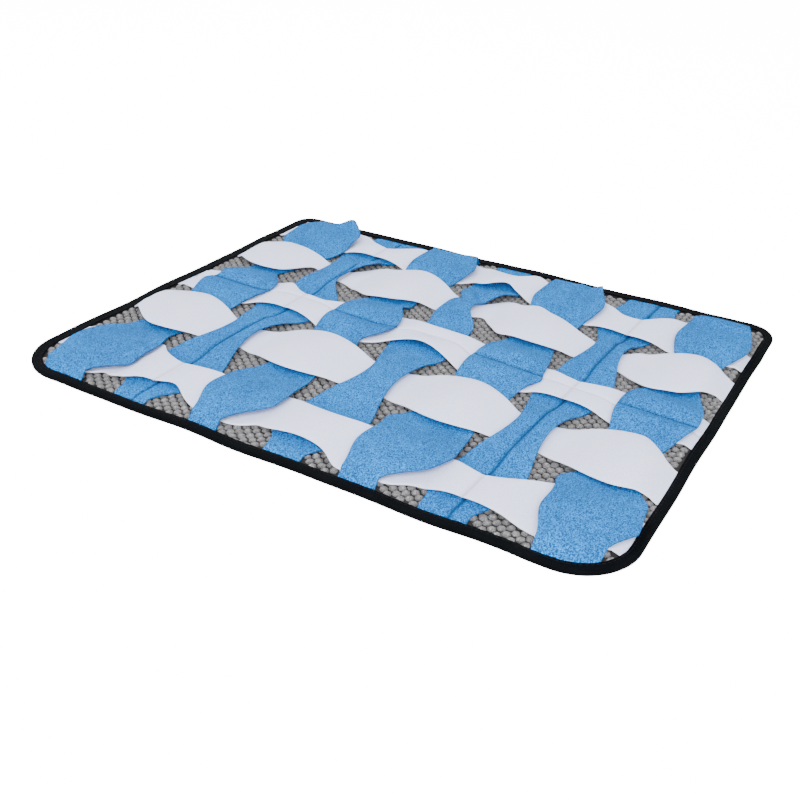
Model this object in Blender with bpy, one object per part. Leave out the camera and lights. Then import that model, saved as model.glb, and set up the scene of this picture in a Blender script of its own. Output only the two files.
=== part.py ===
"""A snuffle mat: a bobble-plush panel bound with folded tape, and two sets of fleece
strips with wavy edges, woven over and under each other and caught in the binding.
The front long edge lies along X and Z is up. Sizes are in millimetres up to the
last step, where each point is turned into metres.
"""
import math
from collections import namedtuple

import bmesh
import bpy
from mathutils import Matrix, Vector

MM = 0.001

# ---- the mat as a whole ----
MAT_LENGTH = 600.0
MAT_DEPTH = 480.0
HALF_LENGTH = MAT_LENGTH / 2
HALF_DEPTH = MAT_DEPTH / 2
FIT_GAP = 0.3            # left between pieces that touch

# corners in the order in which the edge is walked, from the front right one
CORNER_RADII = (52.0, 30.0, 21.0, 54.0)
EDGE_STEP = 24.0         # spacing of the sections along a straight edge
CORNER_STEPS = 6
# the edge wanders in and out: length of a wave, its height, where it starts
EDGE_WAVES = ((151.0, 0.9, 0.6), (93.0, 0.5, 2.1))
LAP_X = 18.0             # where one end of the tape is lapped over the other
LAP_RISE = 2.6
LAP_RUN = 30.0           # the length of the step there
LAP_LENGTH = 90.0        # over which the lapped end runs back to the edge

# ---- binding tape, folded round the edge of the panel ----
TAPE_WIDTH = 12.6
TAPE_THICKNESS = 1.0
TAPE_BACK = 1.4          # how thick the fold itself is
TAPE_NARROWER = 3.4      # it is folded this much narrower along the front and right edge
SLOT_BOTTOM = TAPE_THICKNESS

# ---- bobble-plush panel ----
PANEL_THICKNESS = 5.0
PRESSED_THICKNESS = 1.2  # at the edge, where the tape squeezes it
PANEL_INSET = 2.0        # from the outside of the tape
PRESSED_BOTTOM = SLOT_BOTTOM + FIT_GAP
PRESSED_TOP = PRESSED_BOTTOM + PRESSED_THICKNESS
SWELL_START = TAPE_WIDTH + 2.0    # the panel swells from here, inside the tape,
SWELL_END = TAPE_WIDTH + 8.0      # to here, where it has its full thickness

BOTTOM_ROUND = 3.0       # its underside is level this much nearer to the edge

# ---- fleece strips ----
FLEECE = 1.7
STRIP_END_INSET = 5.0    # the end of a strip, inside the tape
LIP_INSET = TAPE_WIDTH + 1.2      # a strip comes out from under the tape here
STEEP_INSET = TAPE_WIDTH + 8.2    # and has reached its level in the weave here,
GENTLE_INSET = 34.0      # or here where nothing crosses it so near the edge
PUFF_INSET = 46.0        # it is puffed up in full only this far from the edge
END_ZONE = 60.0          # over this length it follows the wander of the edge
CORNER_SHARE = 0.62      # it follows a rounded corner of the mat no further than this
RISE_LEAD = 0.8          # it lifts off this much ahead of the panel's own swell
END_PINCH = 0.6          # a leaf that bulges over the tape is gathered to this at its end
SLOT_TOP = PRESSED_TOP + FLEECE + 2 * FIT_GAP
TAPE_TOP = SLOT_TOP + TAPE_THICKNESS
WEAVE_RISE = 2.8         # a strip is this far above or below the middle of the weave
WEAVE_SNAP = 2.6         # how quickly it changes level halfway between two crossings
SEAM_REACH = 13.0        # half the width of the trough along a seam
ALONG_STEPS = 5          # sections from one crossing to the next
ACROSS_STEPS = 6
NEAR_ALONG = 0.5         # the slope of the cloth is measured between places this near,
NEAR_ACROSS = 0.02       # in mm along the strip and as a share across it

# corners of the tape's section: how far in from the mat's edge, height
TAPE_SECTION = (
    (1.2, 0.0),
    (0.0, TAPE_TOP * 0.35),
    (0.3, TAPE_TOP - 1.4),
    (1.9, TAPE_TOP),
    (TAPE_WIDTH - 0.8, TAPE_TOP),
    (TAPE_WIDTH, TAPE_TOP - 0.4),
    (TAPE_WIDTH, SLOT_TOP),
    (TAPE_BACK, SLOT_TOP),
    (TAPE_BACK, SLOT_BOTTOM),
    (TAPE_WIDTH, SLOT_BOTTOM),
    (TAPE_WIDTH, 0.0),
)

# A crossing gives the strip's width on both sides of its axis, the height of its
# swell between them, and how far each side is lifted. For a blue strip "low" is its
# left side and "high" its right one, for a white strip its front and its back side.
Crossing = namedtuple("Crossing", "low high swell lift_low lift_high")
# A crest is a local fold: its place along the strip and across it (-1 to 1), its
# height, and its reach along (mm) and across (share of the half width).
Crest = namedtuple("Crest", "along across height reach reach_across")
# A bulge is a place where one cut side stands further out, or further in, than the
# crossings give it: its place along the strip, which side, how far, and its reach.
Bulge = namedtuple("Bulge", "along side width reach")
LOW = 0
HIGH = 1
# An axis runs straight from its place at one end of the strip to that at the other.
Strip = namedtuple("Strip", "axis_start axis_end end_start end_end crossings crests bulges")

# Blue strips run from the front edge to the back edge, over the 1st, 3rd and 5th
# white strip where their number is odd, and over the 2nd and 4th where it is even.
BLUE_STRIPS = (
    Strip(-228, -228, (36, 15), (32, 12), (
        Crossing(45, 40, 5, 2, 3),
        Crossing(20, 28, 0, 0, 0),
        Crossing(38, 43, 8, 2, 2),
        Crossing(20, 26, 0, 0, 0),
        Crossing(43, 44, 5, 2, 5)),
        (Crest(211, 1.0, 13, 14, 0.9),),
        (Bulge(-198, HIGH, 12, 12), Bulge(-128, LOW, -6, 16), Bulge(-122, HIGH, -8, 18),
         Bulge(16, LOW, -7, 10), Bulge(50, LOW, -12, 20), Bulge(60, HIGH, -16, 20),
         Bulge(150, LOW, 7, 16), Bulge(146, HIGH, 11, 22))),
    Strip(-151, -144, (22, 14), (34, 28), (
        Crossing(42, 39, 0, 0, 0),
        Crossing(18, 15, 2, 1, 1),
        Crossing(39, 43, 0, 0, 0),
        Crossing(25, 6, 2, 1, 3),
        Crossing(36, 38, 0, 0, 0)),
        (Crest(131, 0.9, 5, 20, 0.7),),
        (Bulge(70, HIGH, -8, 30), Bulge(148, LOW, 6, 14), Bulge(150, HIGH, -10, 10))),
    Strip(-68, -68, (20, 11), (30, 28), (
        Crossing(35, 39, 5, 2, 3),
        Crossing(19, 26, 0, 0, 0),
        Crossing(33, 42, 8, 2, 3),
        Crossing(20, 24, 0, 0, 0),
        Crossing(31, 44, 4, 2, 4)),
        (Crest(50, 1.0, 4, 12, 0.6), Crest(213, 0.9, 3, 12, 0.7)),
        (Bulge(-28, HIGH, -9, 14), Bulge(52, HIGH, -7, 16))),
    Strip(14, 14, (21, 15), (28, 10), (
        Crossing(39, 37, 0, 0, 0),
        Crossing(15, 19, 3, 1, 1),
        Crossing(35, 32, 0, 0, 0),
        Crossing(26, 3, 3, 1, 2),
        Crossing(30, 30, 0, 0, 0)),
        (Crest(142, 0.6, 7, 17, 1.0),),
        (Bulge(48, LOW, -6, 16), Bulge(60, HIGH, 10, 20), Bulge(113, LOW, -8, 8))),
    Strip(96, 96, (30, 4), (36, 18), (
        Crossing(40, 42, 5, 2, 3),
        Crossing(24, 28, 0, 0, 0),
        Crossing(31, 42, 8, 2, 2),
        Crossing(18, 24, 0, 0, 0),
        Crossing(38, 38, 4, 2, 3)),
        (Crest(213, 1.0, 6, 12, 0.4),),
        (Bulge(-186, HIGH, -5, 10), Bulge(-134, LOW, 9, 14), Bulge(-12, HIGH, 5, 10))),
    Strip(164, 178, (26, 15), (33, 21), (
        Crossing(33, 31, 0, 0, 0),
        Crossing(17, 16, 2, 1, 1),
        Crossing(33, 32, 0, 0, 0),
        Crossing(18, 13, 2, 1, 1),
        Crossing(40, 30, 0, 0, 0)),
        (), ()),
    Strip(252, 252, (21, 26), (27, 22), (
        Crossing(33, 42, 6, 2, 2),
        Crossing(24, 15, 0, 0, 0),
        Crossing(38, 35, 8, 2, 4),
        Crossing(18, 13, 0, 0, 0),
        Crossing(35, 37, 4, 2, 2)),
        (Crest(196, 0.0, 3, 9, 1.8),),
        (Bulge(-210, HIGH, 5, 14), Bulge(-142, LOW, 8, 16), Bulge(-145, HIGH, 4, 12))),
)

# White strips run from the left edge to the right edge.
WHITE_STRIPS = (
    Strip(-176, -186, (11, 31), (16, 30), (
        Crossing(42, 44, 0, 0, 0),
        Crossing(24, 15, 3, 2, 1),
        Crossing(38, 31, 0, 0, 0),
        Crossing(28, 16, 4, 2, 2),
        Crossing(38, 32, 0, 0, 0),
        Crossing(26, 9, 3, 1, 1),
        Crossing(34, 52, 0, 0, 0)),
        (),
        (Bulge(-205, LOW, -6, 8), Bulge(-193, HIGH, 5, 10), Bulge(-178, LOW, 5, 12),
         Bulge(-128, LOW, -7, 14), Bulge(-32, LOW, -6, 10), Bulge(59, LOW, 8, 14),
         Bulge(122, LOW, -6, 12))),
    Strip(-70, -90, (22, 16), (38, 14), (
        Crossing(49, 36, 6, 3, 2),
        Crossing(25, 14, 0, 0, 0),
        Crossing(43, 38, 6, 2, 2),
        Crossing(24, 22, 0, 0, 0),
        Crossing(43, 37, 6, 2, 2),
        Crossing(26, 15, 0, 0, 0),
        Crossing(47, 34, 6, 2, 2)),
        (), ()),
    Strip(19, -8, (34, 12), (28, 22), (
        Crossing(42, 33, 0, 0, 0),
        Crossing(24, 15, 3, 1, 1),
        Crossing(39, 40, 0, 0, 0),
        Crossing(14, 28, 5, 5, 1),
        Crossing(36, 34, 0, 0, 0),
        Crossing(27, 10, 3, 1, 1),
        Crossing(38, 32, 0, 0, 0)),
        (),
        (Bulge(-175, HIGH, 9, 14), Bulge(-118, HIGH, -8, 16))),
    Strip(108, 81, (30, 4), (22, 18), (
        Crossing(45, 25, 5, 2, 3),
        Crossing(16, 12, 0, 0, 0),
        Crossing(36, 48, 6, 2, 3),
        Crossing(10, 20, 0, 0, 0),
        Crossing(36, 30, 6, 2, 3),
        Crossing(25, 3, 0, 0, 0),
        Crossing(47, 33, 6, 2, 2)),
        (),
        (Bulge(-258, LOW, 5, 22), Bulge(-250, HIGH, 6, 14), Bulge(-186, LOW, -24, 14),
         Bulge(-122, HIGH, 19, 16), Bulge(-115, LOW, 5, 18), Bulge(-95, LOW, 7, 14),
         Bulge(-42, LOW, -9, 22), Bulge(40, HIGH, 24, 18), Bulge(74, HIGH, 14, 16),
         Bulge(32, LOW, -10, 11), Bulge(64, LOW, 8, 12), Bulge(148, HIGH, 6, 12),
         Bulge(197, HIGH, 8, 10), Bulge(222, LOW, 11, 22))),
    Strip(192, 152, (22, 14), (26, 8), (
        Crossing(38, 34, 0, 0, 0),
        Crossing(22, 6, 3, 1, 1),
        Crossing(32, 45, 0, 0, 0),
        Crossing(6, 24, 6, 5, 1),
        Crossing(29, 46, 0, 0, 0),
        Crossing(34, 7, 3, 1, 1),
        Crossing(38, 56, 0, 0, 0)),
        (Crest(38, 1.0, 2, 12, 0.5),),
        (Bulge(-190, HIGH, 10, 18), Bulge(-110, HIGH, 9, 18), Bulge(1, LOW, 11, 13),
         Bulge(24, LOW, -4, 8), Bulge(44, HIGH, 10, 14), Bulge(156, HIGH, -7, 16),
         Bulge(198, HIGH, 10, 18))),
)
SEWN_BLUE = (1, 5)       # strips with a seam down their axis, counted from 0
SEWN_WHITE = (2,)

# ---- materials: colour, roughness ----
BLUE_FLEECE = ("blue_fleece", (0.12, 0.34, 0.68), 0.95)
WHITE_FLEECE = ("white_fleece", (0.76, 0.76, 0.78), 0.95)
GREY_PLUSH = ("bobble_plush", (0.30, 0.29, 0.27), 0.95)
BLACK_TAPE = ("binding_tape", (0.012, 0.013, 0.016), 0.75)


def mix(a, b, share):
    return a + (b - a) * share


def ease(value, low, high):
    """0 below low, 1 above high, and an S-curve between them."""
    share = min(max((value - low) / (high - low), 0.0), 1.0)
    return share * share * (3 - 2 * share)


def bump_at(distance, reach):
    """1 at no distance, falling away to nothing over about two reaches."""
    return math.exp(-(distance / reach) ** 2)


# ---- the outline ----
def edge_wander(x, y):
    """How far the mat's edge stands out at a point of its outline."""
    along = x if abs(y) >= HALF_DEPTH - 1 else y
    side = 0.0 if x + y > 0 else 1.7
    out = sum(height * math.sin(math.tau * along / wave + start + side)
              for wave, height, start in EDGE_WAVES)
    to_corner = HALF_LENGTH - abs(x) if abs(y) >= HALF_DEPTH - 1 else HALF_DEPTH - abs(y)
    out *= ease(to_corner, max(CORNER_RADII), max(CORNER_RADII) + EDGE_STEP)
    if y >= HALF_DEPTH - 1:
        step = ease(x, LAP_X - LAP_RUN / 2, LAP_X + LAP_RUN / 2)
        out += LAP_RISE * (step - ease(x, LAP_X, LAP_X + LAP_LENGTH))
    return out


def outline():
    """The sections round the edge, as a point and the direction out of the mat."""
    corners = ((1, -1), (1, 1), (-1, 1), (-1, -1))
    sections = []
    for number, (side_x, side_y) in enumerate(corners):
        radius = CORNER_RADII[number]
        centre = Vector((side_x * (HALF_LENGTH - radius), side_y * (HALF_DEPTH - radius)))
        for step in range(CORNER_STEPS + 1):
            turn = math.radians(-90 + 90 * number + 90 * step / CORNER_STEPS)
            out = Vector((math.cos(turn), math.sin(turn)))
            sections.append((centre + out * radius, out))
        start = sections[-1][0]
        radius = CORNER_RADII[(number + 1) % 4]
        side_x, side_y = corners[(number + 1) % 4]
        end = Vector((side_x * (HALF_LENGTH - radius), side_y * (HALF_DEPTH - radius)))
        end += out * radius
        steps = round((end - start).length / EDGE_STEP)
        for step in range(1, steps):
            sections.append((start.lerp(end, step / steps), out))
    return [(point + out * edge_wander(point.x, point.y), out) for point, out in sections]


SECTIONS = outline()


def ring_point(section, inset, height):
    point, out = section
    narrower = TAPE_NARROWER * ease(out.x - out.y, -1, 1)
    inset -= narrower * ease(inset, TAPE_BACK, TAPE_WIDTH)
    return (point.x - out.x * inset, point.y - out.y * inset, height)


# ---- the strips ----
def axis_at(strip, share):
    return mix(strip.axis_start, strip.axis_end, share)


def blue_axis(number, y):
    return axis_at(BLUE_STRIPS[number], y / MAT_DEPTH + 0.5)


def white_axis(number, x):
    return axis_at(WHITE_STRIPS[number], x / MAT_LENGTH + 0.5)


def crossing_point(blue, white):
    """Where the axes of two strips meet."""
    y = white_axis(white, BLUE_STRIPS[blue].axis_start)
    x = blue_axis(blue, y)
    return x, white_axis(white, x)


def seam_free(x, y):
    """0 on a seam, where every layer is sewn down, and 1 away from all of them."""
    free = 1.0
    for number in SEWN_BLUE:
        free *= 1 - bump_at(x - blue_axis(number, y), SEAM_REACH)
    for number in SEWN_WHITE:
        free *= 1 - bump_at(y - white_axis(number, x), SEAM_REACH)
    return free


def panel_top(inset):
    return mix(PRESSED_TOP, PANEL_THICKNESS, ease(inset, SWELL_START, SWELL_END))


def strip_end(along, aside, blue):
    """Near its ends a strip follows the mat's edge, its wander and its rounded corners.
    Gives the place along the strip where a point comes to lie."""
    half, half_aside = (HALF_DEPTH, HALF_LENGTH) if blue else (HALF_LENGTH, HALF_DEPTH)
    x, y = (aside, along) if blue else (along, aside)
    side = math.copysign(1, along)
    radius = CORNER_RADII[(0, 3, 1, 2)[2 * (y > 0) + (x <= 0)]]
    past = min(max(abs(aside) - half_aside + radius, 0.0), CORNER_SHARE * radius)
    slope = math.sqrt(1 - (past / radius) ** 2)
    wander = edge_wander(x, side * half) if blue else edge_wander(side * half, y)
    shift = wander - radius * (1 - slope) - (half - abs(along)) * (1 / slope - 1)
    return along + side * shift * ease(abs(along), half - END_ZONE, half - STEEP_INSET)


class WovenStrip:
    """One strip of the weave: where its middle layer lies, at any place along it
    (in mm, from edge to edge of the mat) and across it (from -1 to 1)."""

    def __init__(self, blue, number):
        self.blue = blue
        self.strip = (BLUE_STRIPS if blue else WHITE_STRIPS)[number]
        self.half = HALF_DEPTH if blue else HALF_LENGTH
        crossed = WHITE_STRIPS if blue else BLUE_STRIPS
        others = range(len(crossed))
        if blue:
            self.places = [crossing_point(number, other)[1] for other in others]
            self.over = [(number + other) % 2 == 0 for other in others]
        else:
            self.places = [crossing_point(other, number)[0] for other in others]
            self.over = [(number + other) % 2 == 1 for other in others]
        # a strip changes level midway between the sides of the strips that it crosses
        rows = [strip.crossings[number] for strip in crossed]
        self.changes = [(self.places[k] + rows[k].high + self.places[k + 1] - rows[k + 1].low) / 2
                        for k in range(len(rows) - 1)]
        # at its ends it comes down beyond the last strip that it crosses
        free = (self.half + self.places[0] - rows[0].low,
                self.half - self.places[-1] - rows[-1].high)
        self.down = [min(max(length, STEEP_INSET), GENTLE_INSET) for length in free]
        if not blue:
            self.down[0] = STEEP_INSET
        # the tape is narrower at the front end of a blue and the right end of a white strip
        self.nearer = (TAPE_NARROWER, 0.0) if blue else (0.0, TAPE_NARROWER)

    def span(self, along):
        """The crossings on both sides of a place, and the share of the way between
        them, which is a half where the strip changes level."""
        if along <= self.places[0]:
            return 0, 0, 0.0
        for index in range(1, len(self.places)):
            if along <= self.places[index]:
                low, change, high = self.places[index - 1], self.changes[index - 1], self.places[index]
                if along < change:
                    return index - 1, index, (along - low) / (change - low) / 2
                return index - 1, index, 0.5 + (along - change) / (high - change) / 2
        return index, index, 0.0

    def side(self, along, high_side):
        """The strip's width on one side of its axis."""
        strip = self.strip
        stops = [-self.half + LIP_INSET, *self.places, self.half - LIP_INSET]
        widths = [strip.end_start[high_side], *(c[high_side] for c in strip.crossings),
                  strip.end_end[high_side]]
        index = 1
        while along > stops[index] and index < len(stops) - 1:
            index += 1
        width = mix(widths[index - 1], widths[index], ease(along, stops[index - 1], stops[index]))
        for bulge in strip.bulges:
            if bulge.side == high_side:
                width += bulge.width * bump_at(along - bulge.along, bulge.reach)
        inset = self.half - abs(along)
        if not self.blue and self.over[0] and along < 0:
            width *= mix(END_PINCH, 1, ease(inset, LIP_INSET, STEEP_INSET))
        return width

    def level(self, along):
        """1 over the other set, -1 under it, with a quick change between crossings."""
        before, after, share = self.span(along)
        sign = 1 if self.over[before] else -1
        if before == after:
            return sign
        return sign * math.tanh(WEAVE_SNAP * math.cos(math.pi * share)) / math.tanh(WEAVE_SNAP)

    def swell(self, along, across):
        """The puff of the cloth where it lies on top, and its lifted sides."""
        before, after, share = self.span(along)
        total = 0.0
        for index, near in ((before, 1 - share), (after, share)):
            row = self.strip.crossings[index]
            fade = math.cos(math.pi / 2 * min(2 * (1 - near), 1.0)) ** 2
            height = row.swell * (1 - across ** 2)
            height += row.lift_low * max(-across, 0) ** 2 + row.lift_high * max(across, 0) ** 2
            total += height * fade
            if before == after:
                break
        return total

    def crest(self, along, across):
        return sum(fold.height * bump_at(along - fold.along, fold.reach)
                   * bump_at(across - fold.across, fold.reach_across)
                   for fold in self.strip.crests)

    def middle(self, along, across):
        strip = self.strip
        axis = axis_at(strip, along / (2 * self.half) + 0.5)
        aside = axis + across * self.side(along, 1 if across > 0 else 0)
        inset = self.half - abs(along) + self.nearer[along > 0]
        place = strip_end(along, aside, self.blue)
        x, y = (aside, place) if self.blue else (place, aside)
        out = ease(inset, LIP_INSET, self.down[along > 0])
        height = panel_top(inset + RISE_LEAD) + FIT_GAP + FLEECE / 2
        puff = self.swell(along, across) * seam_free(x, y)
        if self.blue or along > 0:
            puff *= ease(inset, LIP_INSET, PUFF_INSET)
        puff += self.crest(along, across)
        height += out * (WEAVE_RISE * (1 + self.level(along)) + puff)
        return Vector((x, y, height))

    def stations(self):
        """The places along the strip at which it gets a row of points."""
        slope = (LIP_INSET, mix(LIP_INSET, STEEP_INSET, 0.5), STEEP_INSET + 0.5)
        start, end = ([STRIP_END_INSET, *(inset - nearer for inset in slope)]
                      for nearer in self.nearer)
        found = [-self.half + inset for inset in start]
        stops = [found[-1], *self.places, self.half - end[-1]]
        for low, high in zip(stops, stops[1:]):
            gap = (self.places[1] - self.places[0]) / ALONG_STEPS
            steps = max(2, round((high - low) / gap))
            found += [mix(low, high, step / steps) for step in range(1, steps + 1)]
        return found + [self.half - inset for inset in end[-2::-1]]


# ---- making meshes ----
def make_object(name, points, faces, finish):
    mesh = bpy.data.meshes.new(name)
    mesh.from_pydata([Vector(point) * MM for point in points], [], faces)
    shape = bmesh.new()
    shape.from_mesh(mesh)
    bmesh.ops.recalc_face_normals(shape, faces=shape.faces)
    bmesh.ops.triangulate(shape, faces=shape.faces)
    shape.to_mesh(mesh)
    shape.free()
    mesh.shade_smooth()
    mesh.set_sharp_from_angle(angle=math.radians(50))
    material_name, colour, roughness = finish
    material = bpy.data.materials.get(material_name)
    if material is None:
        material = bpy.data.materials.new(material_name)
        material.use_nodes = True
        shader = material.node_tree.nodes["Principled BSDF"]
        shader.inputs["Base Color"].default_value = (*colour, 1.0)
        shader.inputs["Roughness"].default_value = roughness
    mesh.materials.append(material)
    made = bpy.data.objects.new(name, mesh)
    bpy.context.scene.collection.objects.link(made)
    return made


def make_ring(name, profile, finish, capped):
    """Sweeps a profile of (inset, height) pairs round the edge. Capped, its first
    and last loop are filled; otherwise the profile closes on itself."""
    points = [ring_point(section, inset, height)
              for inset, height in profile for section in SECTIONS]
    count = len(SECTIONS)
    loops = len(profile)
    faces = []
    for loop in range(loops - 1 if capped else loops):
        here, after = loop * count, (loop + 1) % loops * count
        for index in range(count):
            beyond = (index + 1) % count
            faces.append((here + index, here + beyond, after + beyond, after + index))
    if capped:
        faces.append(tuple(range(count)))
        faces.append(tuple(range((loops - 1) * count, loops * count)))
    return make_object(name, points, faces, finish)


def make_panel():
    swell_middle = mix(SWELL_START, SWELL_END, 0.5)
    profile = (
        (SWELL_END - BOTTOM_ROUND, 0.0),
        (SWELL_START, PRESSED_BOTTOM),
        (PANEL_INSET, PRESSED_BOTTOM),
        (PANEL_INSET, PRESSED_TOP),
        (SWELL_START, PRESSED_TOP),
        (swell_middle, panel_top(swell_middle)),
        (SWELL_END, PANEL_THICKNESS),
    )
    return make_ring("base_panel", profile, GREY_PLUSH, capped=True)


def make_binding():
    return make_ring("edge_binding", TAPE_SECTION, BLACK_TAPE, capped=False)


def make_strip(name, woven, finish):
    stations = woven.stations()
    shares = [-1 + 2 * step / ACROSS_STEPS for step in range(ACROSS_STEPS + 1)]
    tops, bottoms = [], []
    for along in stations:
        for across in shares:
            middle = woven.middle(along, across)
            aside = woven.middle(along, min(across + NEAR_ACROSS, 1))
            aside -= woven.middle(along, max(across - NEAR_ACROSS, -1))
            ahead = woven.middle(along + NEAR_ALONG, across)
            ahead -= woven.middle(along - NEAR_ALONG, across)
            normal = aside.cross(ahead).normalized()
            normal *= math.copysign(FLEECE / 2, normal.z)
            tops.append(middle + normal)
            bottoms.append(middle - normal)
    wide = len(shares)
    under = len(tops)
    faces = []
    for row in range(len(stations) - 1):
        for column in range(wide - 1):
            corner = row * wide + column
            quad = (corner, corner + 1, corner + wide + 1, corner + wide)
            faces.append(quad)
            faces.append(tuple(index + under for index in reversed(quad)))
    rim = list(range(wide)) + [row * wide + wide - 1 for row in range(1, len(stations))]
    rim += list(range(under - 2, under - wide - 1, -1))
    rim += [row * wide for row in range(len(stations) - 2, 0, -1)]
    for here, after in zip(rim, rim[1:] + rim[:1]):
        faces.append((after, here, here + under, after + under))
    return make_object(name, tops + bottoms, faces, finish)


def centre(made):
    """Moves the mat so that the middle of its box's underside is at the origin."""
    places = [vertex.co for one in made for vertex in one.data.vertices]
    low = Vector(min(place[axis] for place in places) for axis in range(3))
    high = Vector(max(place[axis] for place in places) for axis in range(3))
    move = Vector((-(low.x + high.x) / 2, -(low.y + high.y) / 2, -low.z))
    for one in made:
        one.data.transform(Matrix.Translation(move))


def build():
    for old in list(bpy.data.objects):
        bpy.data.objects.remove(old, do_unlink=True)
    made = [make_panel(), make_binding()]
    for number in range(len(BLUE_STRIPS)):
        made.append(make_strip(f"blue_strip_{number + 1}", WovenStrip(True, number), BLUE_FLEECE))
    for number in range(len(WHITE_STRIPS)):
        made.append(make_strip(f"white_strip_{number + 1}", WovenStrip(False, number), WHITE_FLEECE))
    centre(made)


build()
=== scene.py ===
# %% [markdown]
# # A snuffle mat
# A snuffle mat is a flat cloth toy. Dry treats are pushed under its woven fleece strips,
# and a dog noses them out again. It could be shown with one flat sheet and a woven
# picture, but its whole point is the pockets, so each strip is made here as cloth of its
# own that really passes over and under the others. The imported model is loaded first: its
# solids say where every piece lies, and the looks are fitted to them.

# %% Loading the frame
import math
from collections import namedtuple

import bmesh
import bpy
from mathutils import Matrix, Vector


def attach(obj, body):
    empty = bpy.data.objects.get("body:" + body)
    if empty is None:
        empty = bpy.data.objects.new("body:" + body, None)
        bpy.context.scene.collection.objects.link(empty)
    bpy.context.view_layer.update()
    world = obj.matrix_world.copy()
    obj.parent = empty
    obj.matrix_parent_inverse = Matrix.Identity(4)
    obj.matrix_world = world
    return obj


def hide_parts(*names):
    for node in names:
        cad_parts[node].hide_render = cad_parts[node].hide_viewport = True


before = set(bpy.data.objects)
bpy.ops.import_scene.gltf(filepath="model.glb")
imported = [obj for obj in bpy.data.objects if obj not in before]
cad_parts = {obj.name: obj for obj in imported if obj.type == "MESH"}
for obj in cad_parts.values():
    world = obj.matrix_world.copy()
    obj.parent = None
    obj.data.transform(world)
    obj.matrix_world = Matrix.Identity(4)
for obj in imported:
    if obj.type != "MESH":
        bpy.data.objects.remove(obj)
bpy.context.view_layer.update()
print("nodes:", ", ".join(sorted(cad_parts)))

# %% [markdown]
# ## Sizes
# A mat maker works in millimetres, so the sizes here are in millimetres too, and one
# helper turns points into metres when a mesh is made. The values of the mat as a whole
# come first. Its middle is at the origin and its front long edge runs along X.

# %% The mat as a whole
MM = 0.001
MAT_LENGTH = 600.0
MAT_DEPTH = 480.0
HALF_LENGTH = MAT_LENGTH / 2
HALF_DEPTH = MAT_DEPTH / 2
MIDDLE = Vector((0.08, -0.82, 0.0))    # the weave's own middle, as seen from the origin
FIT_GAP = 0.3

CORNER_RADII = (52.0, 30.0, 21.0, 54.0)   # from the front right corner, anticlockwise
EDGE_WAVES = ((151.0, 0.9, 0.6), (93.0, 0.5, 2.1))    # length, height and start of each wave
CALM_LENGTH = 24.0       # from a corner's curve to the full waves
RIGHT_CALM = 0.4         # the right edge was drawn tight while it was bound
LAP_X = 18.0             # where the tape's end is lapped over its beginning
LAP_RISE = 2.6
LAP_RUN = 30.0
LAP_LENGTH = 90.0

TAPE_WIDTH = 12.6
TAPE_THICKNESS = 1.0
TAPE_BACK = 1.4
TAPE_NARROWER = 3.4      # along the front and right edge, where the fold was set further out
PANEL_INSET = 2.0
PANEL_THICKNESS = 5.0
PRESSED_THICKNESS = 1.2
PRESSED_BOTTOM = TAPE_THICKNESS + FIT_GAP
PRESSED_TOP = PRESSED_BOTTOM + PRESSED_THICKNESS
SWELL_START = TAPE_WIDTH + 2.0
SWELL_END = TAPE_WIDTH + 8.0
FLEECE = 1.7
SLOT_TOP = PRESSED_TOP + FLEECE + 2 * FIT_GAP
TAPE_TOP = SLOT_TOP + TAPE_THICKNESS


def mix(a, b, share):
    return a + (b - a) * share


def ease(value, low, high):
    """0 below low, 1 above high, and an S-curve between them."""
    share = min(max((value - low) / (high - low), 0.0), 1.0)
    return share * share * (3 - 2 * share)


def bump_at(distance, reach):
    """1 at no distance, falling away to nothing over about two reaches."""
    return math.exp(-(distance / reach) ** 2)


print("mat", MAT_LENGTH, "x", MAT_DEPTH, "mm, tape top at", TAPE_TOP, "mm")

# %% [markdown]
# ## Shader sums in plain Python
# A material's pattern is arithmetic on textures: dim the wool between two bobbles, add a
# little colour where the nap is brushed up. Wiring that by hand hides the sum, so a small
# class wraps a socket and lets Python's own signs add the Math nodes. One method makes
# any other node: its settings go in first, then the values or links of its sockets.

# %% A socket that does sums
class Value:
    """A socket of a material, which can be added, multiplied and so on."""

    def __init__(self, finish, socket):
        self.finish = finish
        self.socket = socket

    def sum(self, operation, first, second):
        return self.finish.add("ShaderNodeMath", {"operation": operation}, {0: first, 1: second})

    def __add__(self, other):
        return self.sum("ADD", self, other)

    __radd__ = __add__

    def __sub__(self, other):
        return self.sum("SUBTRACT", self, other)

    def __rsub__(self, other):
        return self.sum("SUBTRACT", other, self)

    def __mul__(self, other):
        return self.sum("MULTIPLY", self, other)

    __rmul__ = __mul__


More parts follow.
